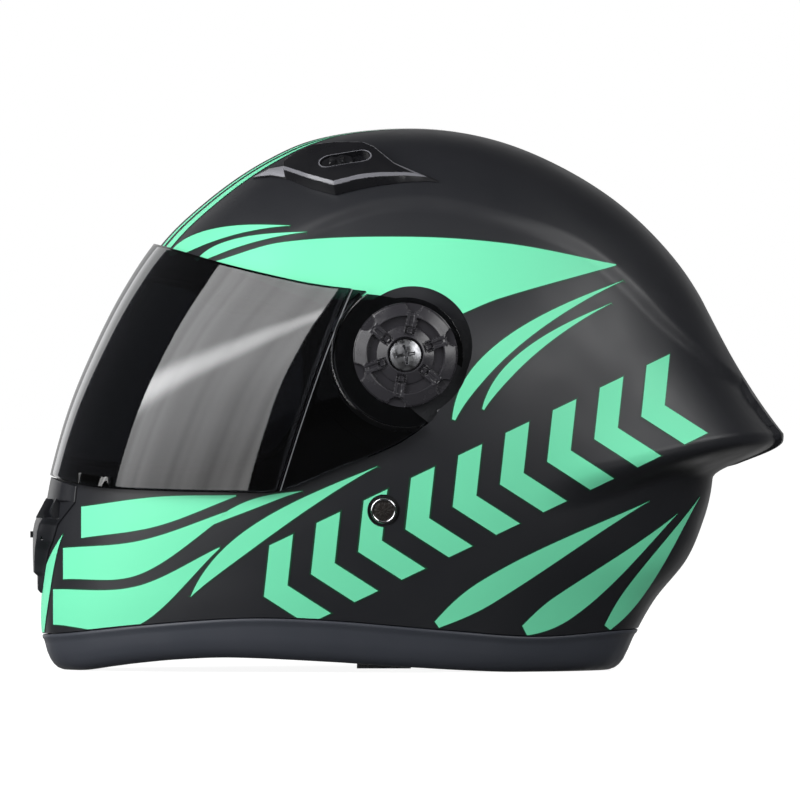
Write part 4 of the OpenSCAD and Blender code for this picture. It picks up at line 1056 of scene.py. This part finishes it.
nose_columns, panel_columns, visor_rows = 90, 60, 90
v = np.linspace(0, 1, visor_rows)[:, None]
nose_x = -170 + 48 * v
for _ in range(12):
    low, top = curve(visor_low_rows, nose_x), curve(visor_top_rows, nose_x)
    nose_x = np.array(curve(front_table, depth(low + (top - low) * v)))
step_x = step_low_x + (step_top_x - step_low_x) * v
u = np.linspace(0, 1, nose_columns)[None, :]
x_nose = nose_x + (step_x - nose_x) * u * u
x_panel = step_x + step_run + (panel_rear - step_x - step_run) * np.linspace(0, 1, panel_columns)
visor_x = np.hstack([x_nose, x_panel])
low, top = curve(visor_low_rows, visor_x), curve(visor_top_rows, visor_x)
visor_z = low + (top - low) * v
visor_lift = np.hstack([(panel_lift + step_rise) * smooth(u) + 0 * v, panel_lift + 0 * x_panel])
half_visor = on_plain_side(visor_x, visor_z, visor_gap + visor_thickness + visor_lift)
half_visor[:, 0, 1] = 0
half_place = np.stack([visor_x, visor_z], -1)
full_visor = np.concatenate([(half_visor * [1, -1, 1])[:, :0:-1], half_visor], 1)
full_place = np.concatenate([half_place[:, :0:-1], half_place], 1).reshape(-1, 2)
visor_data = np.hstack([full_visor.reshape(-1, 3), full_place])
visor_data, visor_faces = keep_positive(visor_data, halved(grid_faces(visor_rows, full_visor.shape[1])),
                                        np.hypot(*(full_place - pivot).T) - flat_radius)
face_x, face_z = visor_data[visor_faces].mean(1)[:, 3:].T
low, top = curve(visor_low_rows, face_x), curve(visor_top_rows, face_x)
face_step = face_x - (step_low_x + (step_top_x - step_low_x) * ((face_z - low) / (top - low)))
# Faces of the step, which take the painted highlight.
on_step = (face_step > 0.02) & (face_step < step_run - 0.02)
thickened(add_piece("visor_shield", visor_data[:, :3], visor_faces, smoke, "visor", body="visor",
                    node="visor", sharp=30, accents=((step_highlight, on_step),)), visor_thickness)

# The eye on each side is a flat plate round the pivot's boss, sunk into the pocket, with a low wall
# round its front where it meets the side panel. The wall is opaque near-black, painted shade in place of the
# smoked polycarbonate, so that its edge shows no glint.
eye_turns = np.radians(np.arange(0, 360, 2))
eye_rings = np.linspace(boss_radius + 0.1, flat_radius, 26)[:, None, None]
eye_places = (pivot + eye_rings * circle(eye_turns)).reshape(-1, 2)
eye_net = halved(grid_faces(len(eye_rings), len(eye_turns), True))[:, ::-1]
eye_data, eye_faces = keep_positive(eye_places, eye_net, -panel_distance(eye_places))
eye_points = np.insert(eye_data, 1, -flat_width - visor_thickness, 1)
wall_turns = np.radians(np.linspace(0, 360, 1441))
wall_turns = wall_turns[panel_distance(pivot + flat_radius * circle(wall_turns)) < -1.6]
wall_grids = []
for radius in (flat_radius + 0.05, flat_radius + visor_thickness):
    foot = np.insert(pivot + radius * circle(wall_turns), 1, -flat_width, 1)
    head = foot.copy()
    head[:, 1] = on_plain_side(foot[:, 0], foot[:, 2], visor_gap + panel_lift + 0.1)[:, 1]
    wall_grids.append(np.stack([head, foot]))
wall_points, wall_faces = closed_slab(*wall_grids)
for side, sign in (("left", 1), ("right", -1)):
    eye = add_piece(f"visor_eye_{side}", eye_points * [1, sign, 1], eye_faces[:, ::sign], smoke, "visor",
                    body="visor", sharp=30)
    thickened(eye, visor_thickness)
    add_piece(f"visor_eye_wall_{side}", wall_points * [1, sign, 1], wall_faces[:, ::sign], eye_wall_shade, "visor",
              body="visor", sharp=30)


# Lifting tab: a thumb ledge moulded on the lower edge of the visor, on the wearer's left.
tab_middle, tab_half = -148, 8
tab_x = np.linspace(tab_middle - tab_half, tab_middle + tab_half, 36)[None, :]
tab_v = np.linspace(0, 1, 10)[:, None]
tab_z = curve(visor_low_rows, tab_x) + 0.8 + 4.7 * tab_v
tab_ends = smooth((1 - np.abs((tab_x - tab_middle) / tab_half)) / 0.45)
tab_top = 0.2 + 3.3 * (1 - 0.5 * tab_v) * tab_ends
tab_places = tab_x + 0 * tab_z
tab_skins = [on_plain_side(tab_places, tab_z, visor_gap + visor_thickness + d) for d in (tab_top, -0.8)]
add_piece("visor_tab", *closed_slab(*tab_skins), smoke, "visor", body="visor", sharp=75)


# Side covers: round caps moulded in dark smoky nylon, 50 mm across, that hold the visor on its bosses.
# Two sloped rings with a flat groove between them, bridged by six ribs, and a scalloped notch in the
# outer ring at the end of each rib.
cover_base = floor_width + 5.2
rib_turn = 80.0
rib_half, rib_from, rib_to = 2.75, 10.6, 20.6
notch_place, notch_radius = 24.9, 4.5
block_place = 11.6
cover_profile = ((2.6, 2.9), (8.2, 2.9), (8.45, 5.5), (8.8, 6.1), (13.8, 4.3), (14.15, 3.6), (18.3, 3.6),
                 (18.6, 5.85), (19.0, 5.95), (23.9, 4.2), (24.3, 4.0), (24.45, 3.6), (24.6, 3.9),
                 (24.85, 3.7), (25.0, 3.1), (25.0, 0.0))
nylon = new_material("smoky_nylon", "#353438", 0.2, 1.53, patches=(6, 0.14, 0.3))


def polar(rows, turns):
    """Triangles of a net of rings that starts at the axis, runs outwards over the top and back below."""
    return halved(grid_faces(rows, turns, True))[:, ::-1]


def on_pivot(radius, turn, height, base):
    """Point on the left at a radius and turn round the pivot, at a height above a plane square to Y."""
    return np.stack(np.broadcast_arrays(pivot[0] + radius * np.cos(turn), -(base + height),
                                        pivot[1] + radius * np.sin(turn)), -1)


cover_turns = np.radians(np.arange(360))
cover_steps = np.array(cover_profile)
fine_radii = np.linspace(8.9, 24.2, 78)
fine_profile = np.stack([fine_radii, straight(cover_steps[3:12], fine_radii)], 1)
profile = np.vstack([cover_steps[:4], fine_profile, cover_steps[10:]])
r, turn = profile[:, :1], cover_turns[None, :]
nearest = np.round((turn - math.radians(rib_turn)) / (math.pi / 3)) * math.pi / 3 + math.radians(rib_turn)
along, across = r * np.cos(turn - nearest), r * np.sin(turn - nearest)
height = profile[:, 1:] + 0 * turn
on_rib = (smooth((rib_half - np.abs(across)) / 0.5) * smooth((along - rib_from) / 0.5)
          * smooth((rib_to - along) / 0.5))
rib_height = 5.75 - 0.6 * smooth((1.1 - np.abs(across)) / 0.5)
rib_relief = (np.maximum(rib_height, height * 0.93) - height) * on_rib
height = np.where((r > 9) & (r < 24.2), height + rib_relief, height)
notch = smooth((notch_radius - np.hypot(along - notch_place, across)) / 0.55)
height = np.where((r > 15) & (r < 24.95), height + (2.9 - height) * notch, height)
block = np.maximum(np.abs(along - block_place), np.abs(across))
block_height = height - 0.9 * smooth((2.3 - block) / 0.4) + 1.3 * smooth((1.5 - block) / 0.4)
height = np.where((r > 9) & (r < 15), block_height, height)
cover_foot = on_pivot(profile[:1, :1], turn, 0.0, cover_base)
cover_rings = np.concatenate([on_pivot(r, turn, height, cover_base), cover_foot])
cover_faces = halved(tube_faces(len(cover_rings), 360))[:, ::-1]
add_both("hub_cap", cover_rings, cover_faces, nylon, "cover", node="side_cover_{}", sharp=28)


# Pivot screws: turned steel, blackened, with a domed head and a cross recess that a coin or driver turns.
blackened = new_material("blackened_steel", "#a5a6a9", 0.3, patches=(3, 0.2, 0.42), Metallic=1.0)
screw_turns = np.radians(np.arange(0, 360, 2))
screw_profile = [(0.04, 5.6)] + [(x, 5.6 - 1.25 * (x / 7.5) ** 2) for x in np.linspace(0.25, 7.4, 36)]
screw_profile += [(7.65, 4.0), (7.7, 3.6), (7.7, 2.95), (2.5, 2.95), (2.5, -13.2), (0.04, -13.2)]
screw_r, screw_h = (np.array(c)[:, None] for c in zip(*screw_profile))
arm_turn = screw_turns[None, :] - math.radians(10)
arm_x, arm_y = np.abs(screw_r * np.cos(arm_turn)), np.abs(screw_r * np.sin(arm_turn))
arm_along = np.maximum(arm_x, arm_y)
arm = np.maximum(np.minimum(arm_x, arm_y) - 0.95 + 0.09 * arm_along, arm_along - 4.6)
screw_h = np.where(screw_h > 4.2, screw_h - 1.7 * smooth((0.15 - arm) / 0.55), screw_h)
screw_rings = on_pivot(screw_r, screw_turns[None, :], screw_h, cover_base)
screw_faces = polar(len(screw_rings), len(screw_turns))
add_both("hub_screw", screw_rings, screw_faces, blackened, "brushed_metal", node="pivot_screw_{}", sharp=30)


# Visor base plates with their small screws and nuts, behind the covers: black nylon and plated steel.
black_nylon = new_material("black_nylon", "#141517", 0.45, 1.53, lumps=(0.8, 0.015))
zinc = new_material("zinc_plated_steel", "#b4b6ba", 0.35, patches=(4, 0.28, 0.45), Metallic=1.0)


def dress(node, material):
    """Gives a CAD node that is shown as it is its material."""
    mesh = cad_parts[node].data
    mesh.materials.clear()
    mesh.materials.append(material)


for side in ("left", "right"):
    dress(f"base_plate_{side}", black_nylon)
dress("base_plate_screws", zinc)
dress("pivot_nuts", zinc)
dress("cheek_pad_studs", black_nylon)


# Roof scoops: thin shells moulded in gloss black ABS and bonded on. Each has a steep side, a narrow
# chamfer painted light grey as a painted highlight, a grey mesh intake at its nose and an oval slot for the
# slider.
scoop_top_line = ((-75, 237.7), (-66.4, 242.0), (-58, 243.4), (-52, 247.2), (-44, 250.3), (-34, 251.6),
                  (-21, 251.4), (-15.9, 249.8), (-6.4, 243), (-3.6, 242), (10.6, 237.4), (15, 235.2))
scoop_low_line = ((-75, 237.2), (-66, 238), (-58, 236.6), (-46, 231.8), (-34.3, 228.6), (-23.5, 231.3),
                  (-12.5, 233.4), (-0.9, 234.8), (9.3, 235.2), (15, 234.8))
scoop_rise = ((-75, 1.1), (-59.2, 1.8), (-57.8, 5.4), (-46, 6.5), (-20, 6.4), (-4, 4.0), (15, 0.8))
slot_length, slot_width = 25.0, 10.0
slot_depth = 3.3
nose_end = -58.6
chamfer_from, chamfer_to = 1.5, 2.75
scoop_plastic = new_material("gloss_black_abs", "#18181b", 0.3, 1.53, patches=(12, 0.25, 0.38))
# Light grey for the chamfers and the slot lips: a painted highlight on the black ABS, not a colour of the
# plastic.
chamfer_highlight_abs = new_material("painted_highlight_chamfer_abs", "#75757b", 0.35, 1.53, lumps=(3, 0.004))
intake_mesh = new_material("grey_intake_mesh", "#8d8d93", 0.5, lumps=(0.9, 0.05))


def stadium(length, width, count):
    """Slot outline with round ends about its own centre."""
    turns = np.linspace(0, 2 * math.pi, count, endpoint=False)
    return np.stack([np.cos(turns) * width / 2 + np.sign(np.cos(turns)) * (length - width) / 2,
                     np.sin(turns) * width / 2], -1)


def slot_distance(local, length, width):
    """Signed distance to a slot with round ends."""
    half = (length - width) / 2
    return np.hypot(np.maximum(np.abs(local[..., 0]) - half, 0), local[..., 1]) - width / 2


scoop_rows, scoop_columns = 84, 230
scoop_u = np.linspace(-75, 15, scoop_columns)[None, :]
low_z, top_z = straight(scoop_low_line, scoop_u), straight(scoop_top_line, scoop_u)
scoop_v = np.linspace(0, 1, scoop_rows)[:, None]
scoop_v = scoop_v - 0.055 * np.sin(scoop_v * 2 * math.pi)
edge_distance = np.minimum(scoop_v, 1 - scoop_v) * (top_z - low_z) * 1.15
steep_part = np.clip(edge_distance / chamfer_from, 0, 1)
flat_part = np.clip((edge_distance - chamfer_from) / 1.2, 0, 1)
scoop_lift = 0.4 + (straight(scoop_rise, scoop_u) - 0.4) * (0.8 * steep_part + 0.2 * flat_part)
scoop_x = scoop_u + 0 * scoop_v
scoop_grid = on_side(scoop_x, low_z + (top_z - low_z) * scoop_v, scoop_lift)
scoop_marks = np.stack([scoop_x, edge_distance], -1)
scoop_data = np.concatenate([scoop_grid, scoop_marks], -1).reshape(-1, 5)
beside_slot = slot_distance(in_slot_frame(scoop_data[:, :3]), slot_length, slot_width)
scoop_net = halved(grid_faces(scoop_rows, scoop_columns))
scoop_cut, scoop_faces = keep_positive(scoop_data, scoop_net, beside_slot)
place, edge = scoop_cut[scoop_faces].mean(1)[:, 3:].T
intake = (place < nose_end) & (edge > 0.5)
# Chamfer faces, which take the painted highlight.
chamfer_highlight_faces = (edge > chamfer_from) & (edge < chamfer_to) & (place > nose_end + 0.6)
add_both("scoop_shell", scoop_cut[:, :3], scoop_faces, scoop_plastic, "black_plastic", node="roof_scoop_{}",
         sharp=24, accents=((chamfer_highlight_abs, chamfer_highlight_faces), (intake_mesh, intake)))


def slot_top(local):
    """Height of the scoop's plate over the slot's frame at local places."""
    flat = from_slot_frame(np.concatenate([local, np.zeros((len(local), 1))], 1))
    return in_slot_frame(on_side(flat[:, 0], flat[:, 2], straight(scoop_rise, flat[:, 0])))[:, 2]


slot_count, bore_count = 96, 45
lip_levels = ((1.045, -0.1), (1.04, 0.28), (0.99, 0.22))
floor_scales = np.linspace(0.985, 0.01, 16)
slot_ring = stadium(slot_length, slot_width, slot_count)
ring_top = slot_top(slot_ring)[:, None]
slot_rings = [np.hstack([slot_ring * scale, ring_top + h]) for scale, h in lip_levels]
slot_rings += [np.hstack([slot_ring * scale, 0 * ring_top + slot_depth]) for scale in floor_scales]
slot_points = from_slot_frame(np.concatenate(slot_rings))
lip_points = slot_points[:len(lip_levels) * slot_count]
lip_faces = halved(grid_faces(len(lip_levels), slot_count, True))
floor_net = halved(grid_faces(len(floor_scales) + 1, slot_count, True)) + 2 * slot_count
beside_bore = np.where(np.arange(len(slot_points)) < len(lip_points), 9, bore_distance(slot_points))
floor_points, floor_faces = keep_positive(slot_points, floor_net, beside_bore)
bore_ring = np.array([bore_place, 0]) + bore_radius * circle(np.radians(np.arange(0, 360, 8)))
bore_rings = [np.insert(bore_ring, 2, level, 1) for level in (slot_depth, -shell_wall - 0.3)]
bore_points = from_slot_frame(np.vstack(bore_rings))
slot_points, slot_faces = joined([(lip_points, lip_faces), (floor_points, floor_faces),
                                  (bore_points, halved(grid_faces(2, bore_count, True)))])
# The slot's lip takes the same painted highlight.
on_lip = np.arange(len(slot_faces)) < len(lip_faces)
add_both("scoop_slot", slot_points, slot_faces, scoop_plastic, "black_plastic", sharp=35,
         accents=((chamfer_highlight_abs, on_lip),))


# Scoop sliders: oval shutters with a raised cross that the thumb pushes, each in its slot.
slider_length, slider_width = 16.0, 9.4
slider_low = slot_depth + 0.15


def raised(outline, centre, levels):
    """Closed body on the slot's floor from (scale, height) levels of an outline, from its underside up."""
    rings = [np.insert(centre + outline * scale, 2, slider_low + h, 1) for scale, h in levels]
    return from_slot_frame(np.concatenate(rings)), grid_faces(len(levels), len(outline), True)


slider_centre = np.array([-(slot_length - slider_length) / 2 + 0.3, 0])
slider_parts = [raised(stadium(slider_length, slider_width, 96), slider_centre,
                       ((0.02, 0), (1, 0), (1, 1.3), (0.93, 1.8), (0.6, 1.55), (0.02, 1.5)))]
for lean in (38, -38):
    c, s = math.cos(math.radians(lean)), math.sin(math.radians(lean))
    bar = stadium(8.6, 1.5, 24) @ np.array([[c, s], [-s, c]])
    bar_levels = ((0.02, 1.0), (1, 1.0), (1, 3.0), (0.88, 3.5), (0.02, 3.55))
    slider_parts.append(raised(bar, slider_centre, bar_levels))
add_both("scoop_thumb", *joined(slider_parts), scoop_plastic, "black_plastic", body="scoop_slider_{}",
         node="scoop_slider_{}", sharp=30)


# Chin vent: a satin black ABS cover over the middle of the chin bar, with a wide intake groove, an air
# slot in it, a shutter behind the slot and a mesh behind the shell.
vent_width, vent_out = 96.0, 6.0
shutter_width = 46.4
vent_ledge = 81.8
vent_foot, vent_peak = 37.0, 93.4
vent_wall, vent_fade = 1.4, 0.26
shutter_middle, shutter_room, shutter_top = 71.6, 9.2, 80.9
rib_places = (8.0, 25.4, 32.5)
rib_width = 2.2
rib_foot, rib_tip = 72.8, 82.4
rib_front, rib_lean = -179.7, 0.51
vent_rows = ((37, 0.16), (38.5, 0.4), (45, 0.52), (46.6, 0.86), (56, 1.05), (66, 1.24), (70, 1.2),
             (72.6, 1.1), (73.4, 0.2), (81.0, 0.2), (81.8, 0.48), (93.4, 0.45))
vent_half = ((37, 0.22), (50, 0.34), (58, 0.45), (62, 0.56), (70, 0.66), (76, 0.86), (81, 1), (93.4, 1))
vent_plastic = new_material("satin_black_abs", "#222327", 0.36, 1.53, lumps=(1.0, 0.01))


def on_front(y, z, d):
    """Point of the plain front at a distance y from the middle plane and a height, lifted d off it."""
    t = depth(z)
    s = np.sign(y) * np.minimum(np.abs(y) / curve(half_table, t), 1) ** (plan_power / 2)
    angle = np.degrees(np.arctan2(-s, np.sqrt(1 - s * s)))
    return plain_surface(angle, t) + np.asarray(d)[..., None] * surface_normal(plain_surface, angle, t)


vent_steps = np.array(vent_rows)[:, 0]
vent_z = np.unique(np.concatenate([vent_steps, np.linspace(vent_foot, vent_peak, 60)]))[:, None]
vent_k = np.linspace(1, -1, 121)[None, :]
vent_y = vent_k * vent_width / 2 * straight(vent_half, vent_z)
front_line = on_front(vent_y, 90.0 + 0 * vent_y, 0.0)[..., 0]
vent_top = np.minimum(vent_peak, curve(visor_low_rows, front_line) - 1.2)
stretched = vent_ledge + (vent_top - vent_ledge) * (vent_z - vent_ledge) / (vent_peak - vent_ledge)
vent_height = np.where(vent_z > vent_ledge, stretched, vent_z)
vent_ends = smooth((1 - np.abs(vent_k)) / vent_fade)
vent_lift = 0.75 + (vent_out * straight(vent_rows, vent_z) - 0.75) * vent_ends
vent_grid = on_front(vent_y, vent_height, np.maximum(vent_lift, 0.7))
shutter_front = front_x(62) - 0.9
shutter_gap = 0.3
over_shutter = np.maximum.reduce([np.abs(vent_y) - shutter_width / 2 - shutter_gap,
                                  np.abs(vent_height - shutter_middle) - shutter_room,
                                  shutter_front - shutter_gap - vent_grid[..., 0] - vent_wall])
over_slot = np.maximum(np.abs(vent_y) - air_width / 2, np.abs(vent_height - air_z) - air_height / 2)
vent_data, vent_faces = keep_positive(vent_grid.reshape(-1, 3), halved(grid_faces(*vent_y.shape)),
                                      np.minimum(over_shutter, over_slot).ravel())
thickened(add_piece("chin_vent", vent_data, vent_faces, vent_plastic, "black_plastic", node="chin_vent_cover",
                    sharp=24), vent_wall)
rib_z = np.linspace(rib_foot, rib_tip, 12)[:, None]
vent_ribs = []
for middle_y in [sign * place for sign in (1, -1) for place in rib_places]:
    rib_y = middle_y + np.array([[rib_width / 2, -rib_width / 2]]) + 0 * rib_z
    fade = smooth((1 - np.abs(middle_y) / (vent_width / 2 * straight(vent_half, rib_z))) / vent_fade)
    rib_drop = 3.6 * (rib_z - rib_foot) / (rib_tip - rib_foot)
    rib_top = 0.9 + (7.0 - rib_drop - 0.9) * fade + 0 * rib_y
    rib_face, rib_base = (on_front(rib_y, rib_z + 0 * rib_y, d) for d in (rib_top, 0.3))
    if abs(middle_y) < 26:
        rib_face[..., 0] = np.minimum(rib_face[..., 0], rib_front + rib_lean * (rib_z - rib_foot))
    if abs(middle_y) < 10:
        rib_base[..., 0] = np.where(rib_z < shutter_top, shutter_front - shutter_gap, rib_base[..., 0])
        rib_face[..., 0] = np.minimum(rib_face[..., 0], rib_base[..., 0] - 0.15)
    vent_ribs.append(closed_slab(rib_face, rib_base))
add_piece("chin_vent_ribs", *joined(vent_ribs), vent_plastic, "black_plastic", sharp=30)
dress("chin_vent_shutter", black_nylon)
dress("chin_vent_mesh", black_nylon)


# Strap rivets: a rolled chrome ring and a domed dark cap on each side, sunk in a round recess of the
# shell, with a steel washer that holds the webbing inside.
chrome = new_material("polished_chrome", "#e4e5e8", 0.08, patches=(5, 0.05, 0.12), Metallic=1.0)
cap_plastic = new_material("dark_smoky_cap", "#2a2725", 0.25, 1.53, patches=(1.5, 0.16, 0.4))
rivet_origin, rivet_axes = side_frame(rivet_place)


def at_rivet(profile, turns, wobble=None):
    """Surface of revolution round the rivet's axis from (radius, height) pairs."""
    r, h = (np.array(c, float)[:, None] for c in zip(*profile))
    a, b = r * np.cos(turns), r * np.sin(turns)
    h = h + 0 * a if wobble is None else h + wobble(r, turns)
    return rivet_origin + np.stack([a, b, h], -1) @ rivet_axes, polar(len(profile), turns.size)


rivet_turns = np.radians(np.arange(0, 360, 3.75))
cap_radius, cap_top = 4.9, 0.95
ring_profile = [(0.03, -0.5), (cap_radius, -0.5)]
ring_profile += [(5.55 + 0.65 * x, 0.45 + 0.65 * z) for x, z in circle(np.radians(np.arange(180, -1, -20)))]
ring_profile += [(6.2, -1.0), (2.4, -1.0), (2.4, -7.6), (0.03, -7.6)]
cap_profile = [(0.03, cap_top)]
cap_profile += [(r, cap_top - 0.75 * (r / cap_radius) ** 2) for r in np.linspace(0.4, 4.75, 16)]
cap_profile += [(cap_radius, 0.05), (cap_radius, -0.4), (0.03, -0.4)]


def scalloped(r, turn):
    """Twelve faint waves round the cap's dome."""
    return 0.05 * np.cos(turn * 12) * smooth(r / 2) * (r < 4.7)


recess_rows = [on_side(*(rivet_place + circle(rivet_turns) * r).T, d) for r, d in (
    (recess_radius + 0.02, 0.0), (recess_radius + 0.02, -1.35), (5.0, -1.35), (0.5, -1.35))]
add_both("rivet_ring", *at_rivet(ring_profile, rivet_turns), chrome, "chrome", node="strap_rivets", sharp=50)
add_both("rivet_dome", *at_rivet(cap_profile, rivet_turns, scalloped), cap_plastic, "black_plastic",
         node="rivet_caps", sharp=50)
add_both("rivet_recess", recess_rows, grid_faces(4, len(rivet_turns), True), raw_plastic, "shell", sharp=50)
dress("rivet_washers", zinc)


# Chin strap: nylon webbing, 25 mm wide and 1.8 mm thick, woven in a flat twill. Each length hangs from
# its rivet inside the cheek pad and turns under the jaw, where the buckle joins the two.
strap_width, strap_thickness = 25.0, 1.8
strap_inner = shell_wall + 1.6 + strap_thickness / 2
strap_side_rows = ((88, 0), (78, 0), (66, 0), (52, 0), (40, 0.9), (31, 2.7), (20, 4.4), (12, 6.6))
webbing = new_material("black_nylon_webbing", "#17181a", 0.75, 1.53, Sheen_Weight=0.3)
strap_uv = add_node(webbing, "ShaderNodeUVMap", {"uv_map": "UVMap"})
twill, ribs = (add_node(webbing, "ShaderNodeTexWave", {"bands_direction": way},
                        {"Vector": strap_uv, "Scale": scale})
               for way, scale in (("DIAGONAL", 0.32), ("X", 0.22)))
bump(webbing, calculated(webbing, "ADD", twill, ribs), 0.25, 0.9)


def strap(name, tail_end, sign, node):
    """Webbing along its route in the plane of the strap: down the side, then under the jaw to its end."""
    route = [(on_plain_side(rivet_place[0], z, 0.0)[1] + strap_inner + d, z) for z, d in strap_side_rows]
    route = spline(route + [(-84, 6.6), (-76, 4.6), (-66, 3.9)] + list(tail_end), 150)
    way = unit(np.gradient(route, axis=0))
    out = np.stack([-way[:, 1], way[:, 0]], 1)
    length = np.concatenate([[0], np.cumsum(np.linalg.norm(np.diff(route, axis=0), axis=1))])
    w, h = strap_width / 2, strap_thickness / 2
    section = [(-w, 0), (-w + 0.3, -h * 0.8), (-w + 1.2, -h)]
    section += [(x, -h) for x in np.linspace(-w + 2.5, w - 2.5, 9)]
    section += [(w - 1.2, -h), (w - 0.3, -h * 0.8), (w, 0)]
    section += [(x, -y) for x, y in section[1:-1][::-1]]
    rings = np.stack([np.stack([rivet_place[0] + a + 0 * length, (route[:, 0] + b * out[:, 0]) * sign,
                                route[:, 1] + b * out[:, 1]], -1) for a, b in section])
    uv = np.stack(np.broadcast_arrays(np.array(section)[:, :1], length), -1)
    faces = tube_faces(len(section), len(length), False)
    i = np.arange(len(section) // 2)
    end = np.stack([i, i + 1, len(section) - 1 - i, (len(section) - i) % len(section)], 1) * len(length)
    faces = np.vstack([faces, end, (end + len(length) - 1)[:, ::-1]])
    add_piece(name, rings, faces[:, ::sign], webbing, "webbing", node=node, sharp=50, uv=uv)


strap("webbing_left", ((-56, 3.8), (-45, 3.8)), 1, "strap_left")
strap("webbing_right", ((-54, 4.4), (-40, 5.4), (-26, 6.0), (-12, 6.0)), -1, "strap_right")


# Buckle: pressed and nickel plated steel frame with a toothed nylon tongue, and a red nylon lever that
# lifts the catch off the teeth.
nickel = new_material("nickel_plated_steel", "#a6a8ac", 0.28, patches=(5, 0.22, 0.38), Metallic=1.0)
red_nylon = new_material("red_nylon", "#8f1a1c", 0.4, 1.53, lumps=(0.8, 0.01))
dress("buckle_frame", nickel)
dress("buckle_pin", nickel)
dress("buckle_tongue", black_nylon)
dress("buckle_lever", red_nylon)


# Studio: a pale floor that runs out to a white surround. A big soft box in front of the helmet's left
# draws the grey band on the visor, and a thin one beyond it draws the light rim on the front edge. Two
# more give the rear half and the tail their sheen, and a weak one overhead fills in.
frame_pixels, pixel = 800, 0.485
origin_column, origin_row = 407.5, 669
view_distance = 8000.0
sensor = 36.0
aim = np.array([frame_pixels / 2 - origin_column, 0.0, origin_row - frame_pixels / 2]) * pixel
camera_data = bpy.data.cameras.new("camera")
camera_data.sensor_width = sensor
camera_data.lens = sensor * view_distance / (frame_pixels * pixel)
camera_data.clip_end = 100
camera = bpy.data.objects.new("camera", camera_data)
camera.location = (aim - [0, view_distance, 0]) * MM
camera.rotation_euler = (math.pi / 2, 0, 0)
bpy.context.scene.collection.objects.link(camera)
bpy.context.scene.camera = camera


streak_height, streak_bend = 0.495, 0.28


def soft_box(name, azimuth, elevation, distance, size, radiance):
    """A soft box round the helmet, azimuth from the camera's side towards the helmet's rear, in degrees."""
    a, e = math.radians(azimuth), math.radians(elevation)
    way = Vector((math.sin(a) * math.cos(e), -math.cos(a) * math.cos(e), math.sin(e)))
    data = bpy.data.lights.new(name, "AREA")
    data.shape = "RECTANGLE"
    data.size, data.size_y = size
    data.energy = radiance * math.pi * size[0] * size[1]
    lamp = bpy.data.objects.new(name, data)
    lamp.location = way * distance + Vector((0, 0, 0.13))
    lamp.rotation_euler = way.to_track_quat("Z", "Y").to_euler()
    bpy.context.scene.collection.objects.link(lamp)
    return lamp


left_box = soft_box("soft_box_left", -60, 18, 1.6, (1.6, 2.0), 9.0).data
left_box.use_nodes = True
on_box = add_node(left_box, "ShaderNodeNewGeometry", out=5)
across, upwards = part_of(left_box, on_box, 0), part_of(left_box, on_box, 1)
cubed = calculated(left_box, "POWER", across, 3.0)
line = calculated(left_box, "MULTIPLY_ADD", cubed, streak_bend, streak_height)
off = calculated(left_box, "ABSOLUTE", calculated(left_box, "SUBTRACT", upwards, line))
peak = mapped(left_box, across, 0.0, 1.0, 0.8, 0.45)
near_line = mapped(left_box, off, 0.0, 0.085, peak, 0.0, "SMOOTHERSTEP")
base = mapped(left_box, upwards, 0.1, 0.55, 0.21, 0.43, "SMOOTHSTEP")
fold = calculated(left_box, "MULTIPLY_ADD", upwards, -0.2, across)
fold = add_node(left_box, "ShaderNodeTexNoise", {"noise_dimensions": "1D"},
                {"W": fold, "Scale": 8.0, "Detail": 1.2})
fold = mapped(left_box, fold, 0.3, 0.7, -0.045, 0.055)
glow = calculated(left_box, "ADD", calculated(left_box, "ADD", near_line, base), fold)
left_box.node_tree.links.new(glow, left_box.node_tree.nodes["Emission"].inputs["Strength"])
soft_box("soft_box_rim", -151, 10, 2.0, (0.5, 1.5), 0.9)
soft_box("soft_box_right", 31, 15, 1.7, (0.85, 0.9), 3.6)
soft_box("soft_box_above", 0, 66, 1.8, (1.6, 0.9), 0.3)
soft_box("soft_box_tail", 70, 35, 1.8, (1.0, 0.8), 4.0)

surround = bpy.data.worlds.new("surround")
bpy.context.scene.world = surround
surround.use_nodes = True
direction = add_node(surround, "ShaderNodeTexCoord")
behind = mapped(surround, part_of(surround, direction, 1), 0.86, 0.93, 0.035, 0.5, "SMOOTHSTEP")
seen, through = (add_node(surround, "ShaderNodeLightPath", out=way) for way in (0, 6))
seen = calculated(surround, "MAXIMUM", seen, through)
level = add_node(surround, "ShaderNodeMix", {"data_type": "FLOAT"}, {0: seen, 2: behind, 3: 1.0})
background = surround.node_tree.nodes["Background"]
background.inputs["Color"].default_value = (1, 1, 1, 1)
surround.node_tree.links.new(level, background.inputs["Strength"])

floor_size = 60.0
floor_corners = ((-1, -1), (1, -1), (1, 1), (-1, 1))
floor_mesh = bpy.data.meshes.new("floor")
floor_mesh.from_pydata([(x * floor_size, y * floor_size, -0.0003) for x, y in floor_corners],
                       [], [(0, 1, 2, 3)])
floor = bpy.data.objects.new("floor", floor_mesh)
bpy.context.scene.collection.objects.link(floor)
floor.visible_glossy = False
floor.visible_shadow = False
paper = new_material("white_paper", "#8f8f8f", 1.0, Specular_IOR_Level=0.0, Emission_Color=(1, 1, 1, 1))
shader = paper.node_tree.nodes["Principled BSDF"]
floor_seen = add_node(paper, "ShaderNodeLightPath")
floor_far = add_node(paper, "ShaderNodeVectorMath", {"operation": "LENGTH"}, {0: object_place(paper)}, out=1)
floor_level = mapped(paper, floor_far, 0.35, 0.9, 0.92, 1.05)
feed(paper, "Emission Strength", calculated(paper, "MULTIPLY", floor_seen, floor_level))
back_side = add_node(paper, "ShaderNodeNewGeometry", out=6)
clear = add_node(paper, "ShaderNodeBsdfTransparent")
one_sided = add_node(paper, "ShaderNodeMixShader", None, {0: back_side, 1: shader.outputs[0], 2: clear})
paper.node_tree.links.new(one_sided, paper.node_tree.nodes["Material Output"].inputs["Surface"])
floor_mesh.materials.append(paper)

bpy.context.scene.view_settings.view_transform = "Standard"
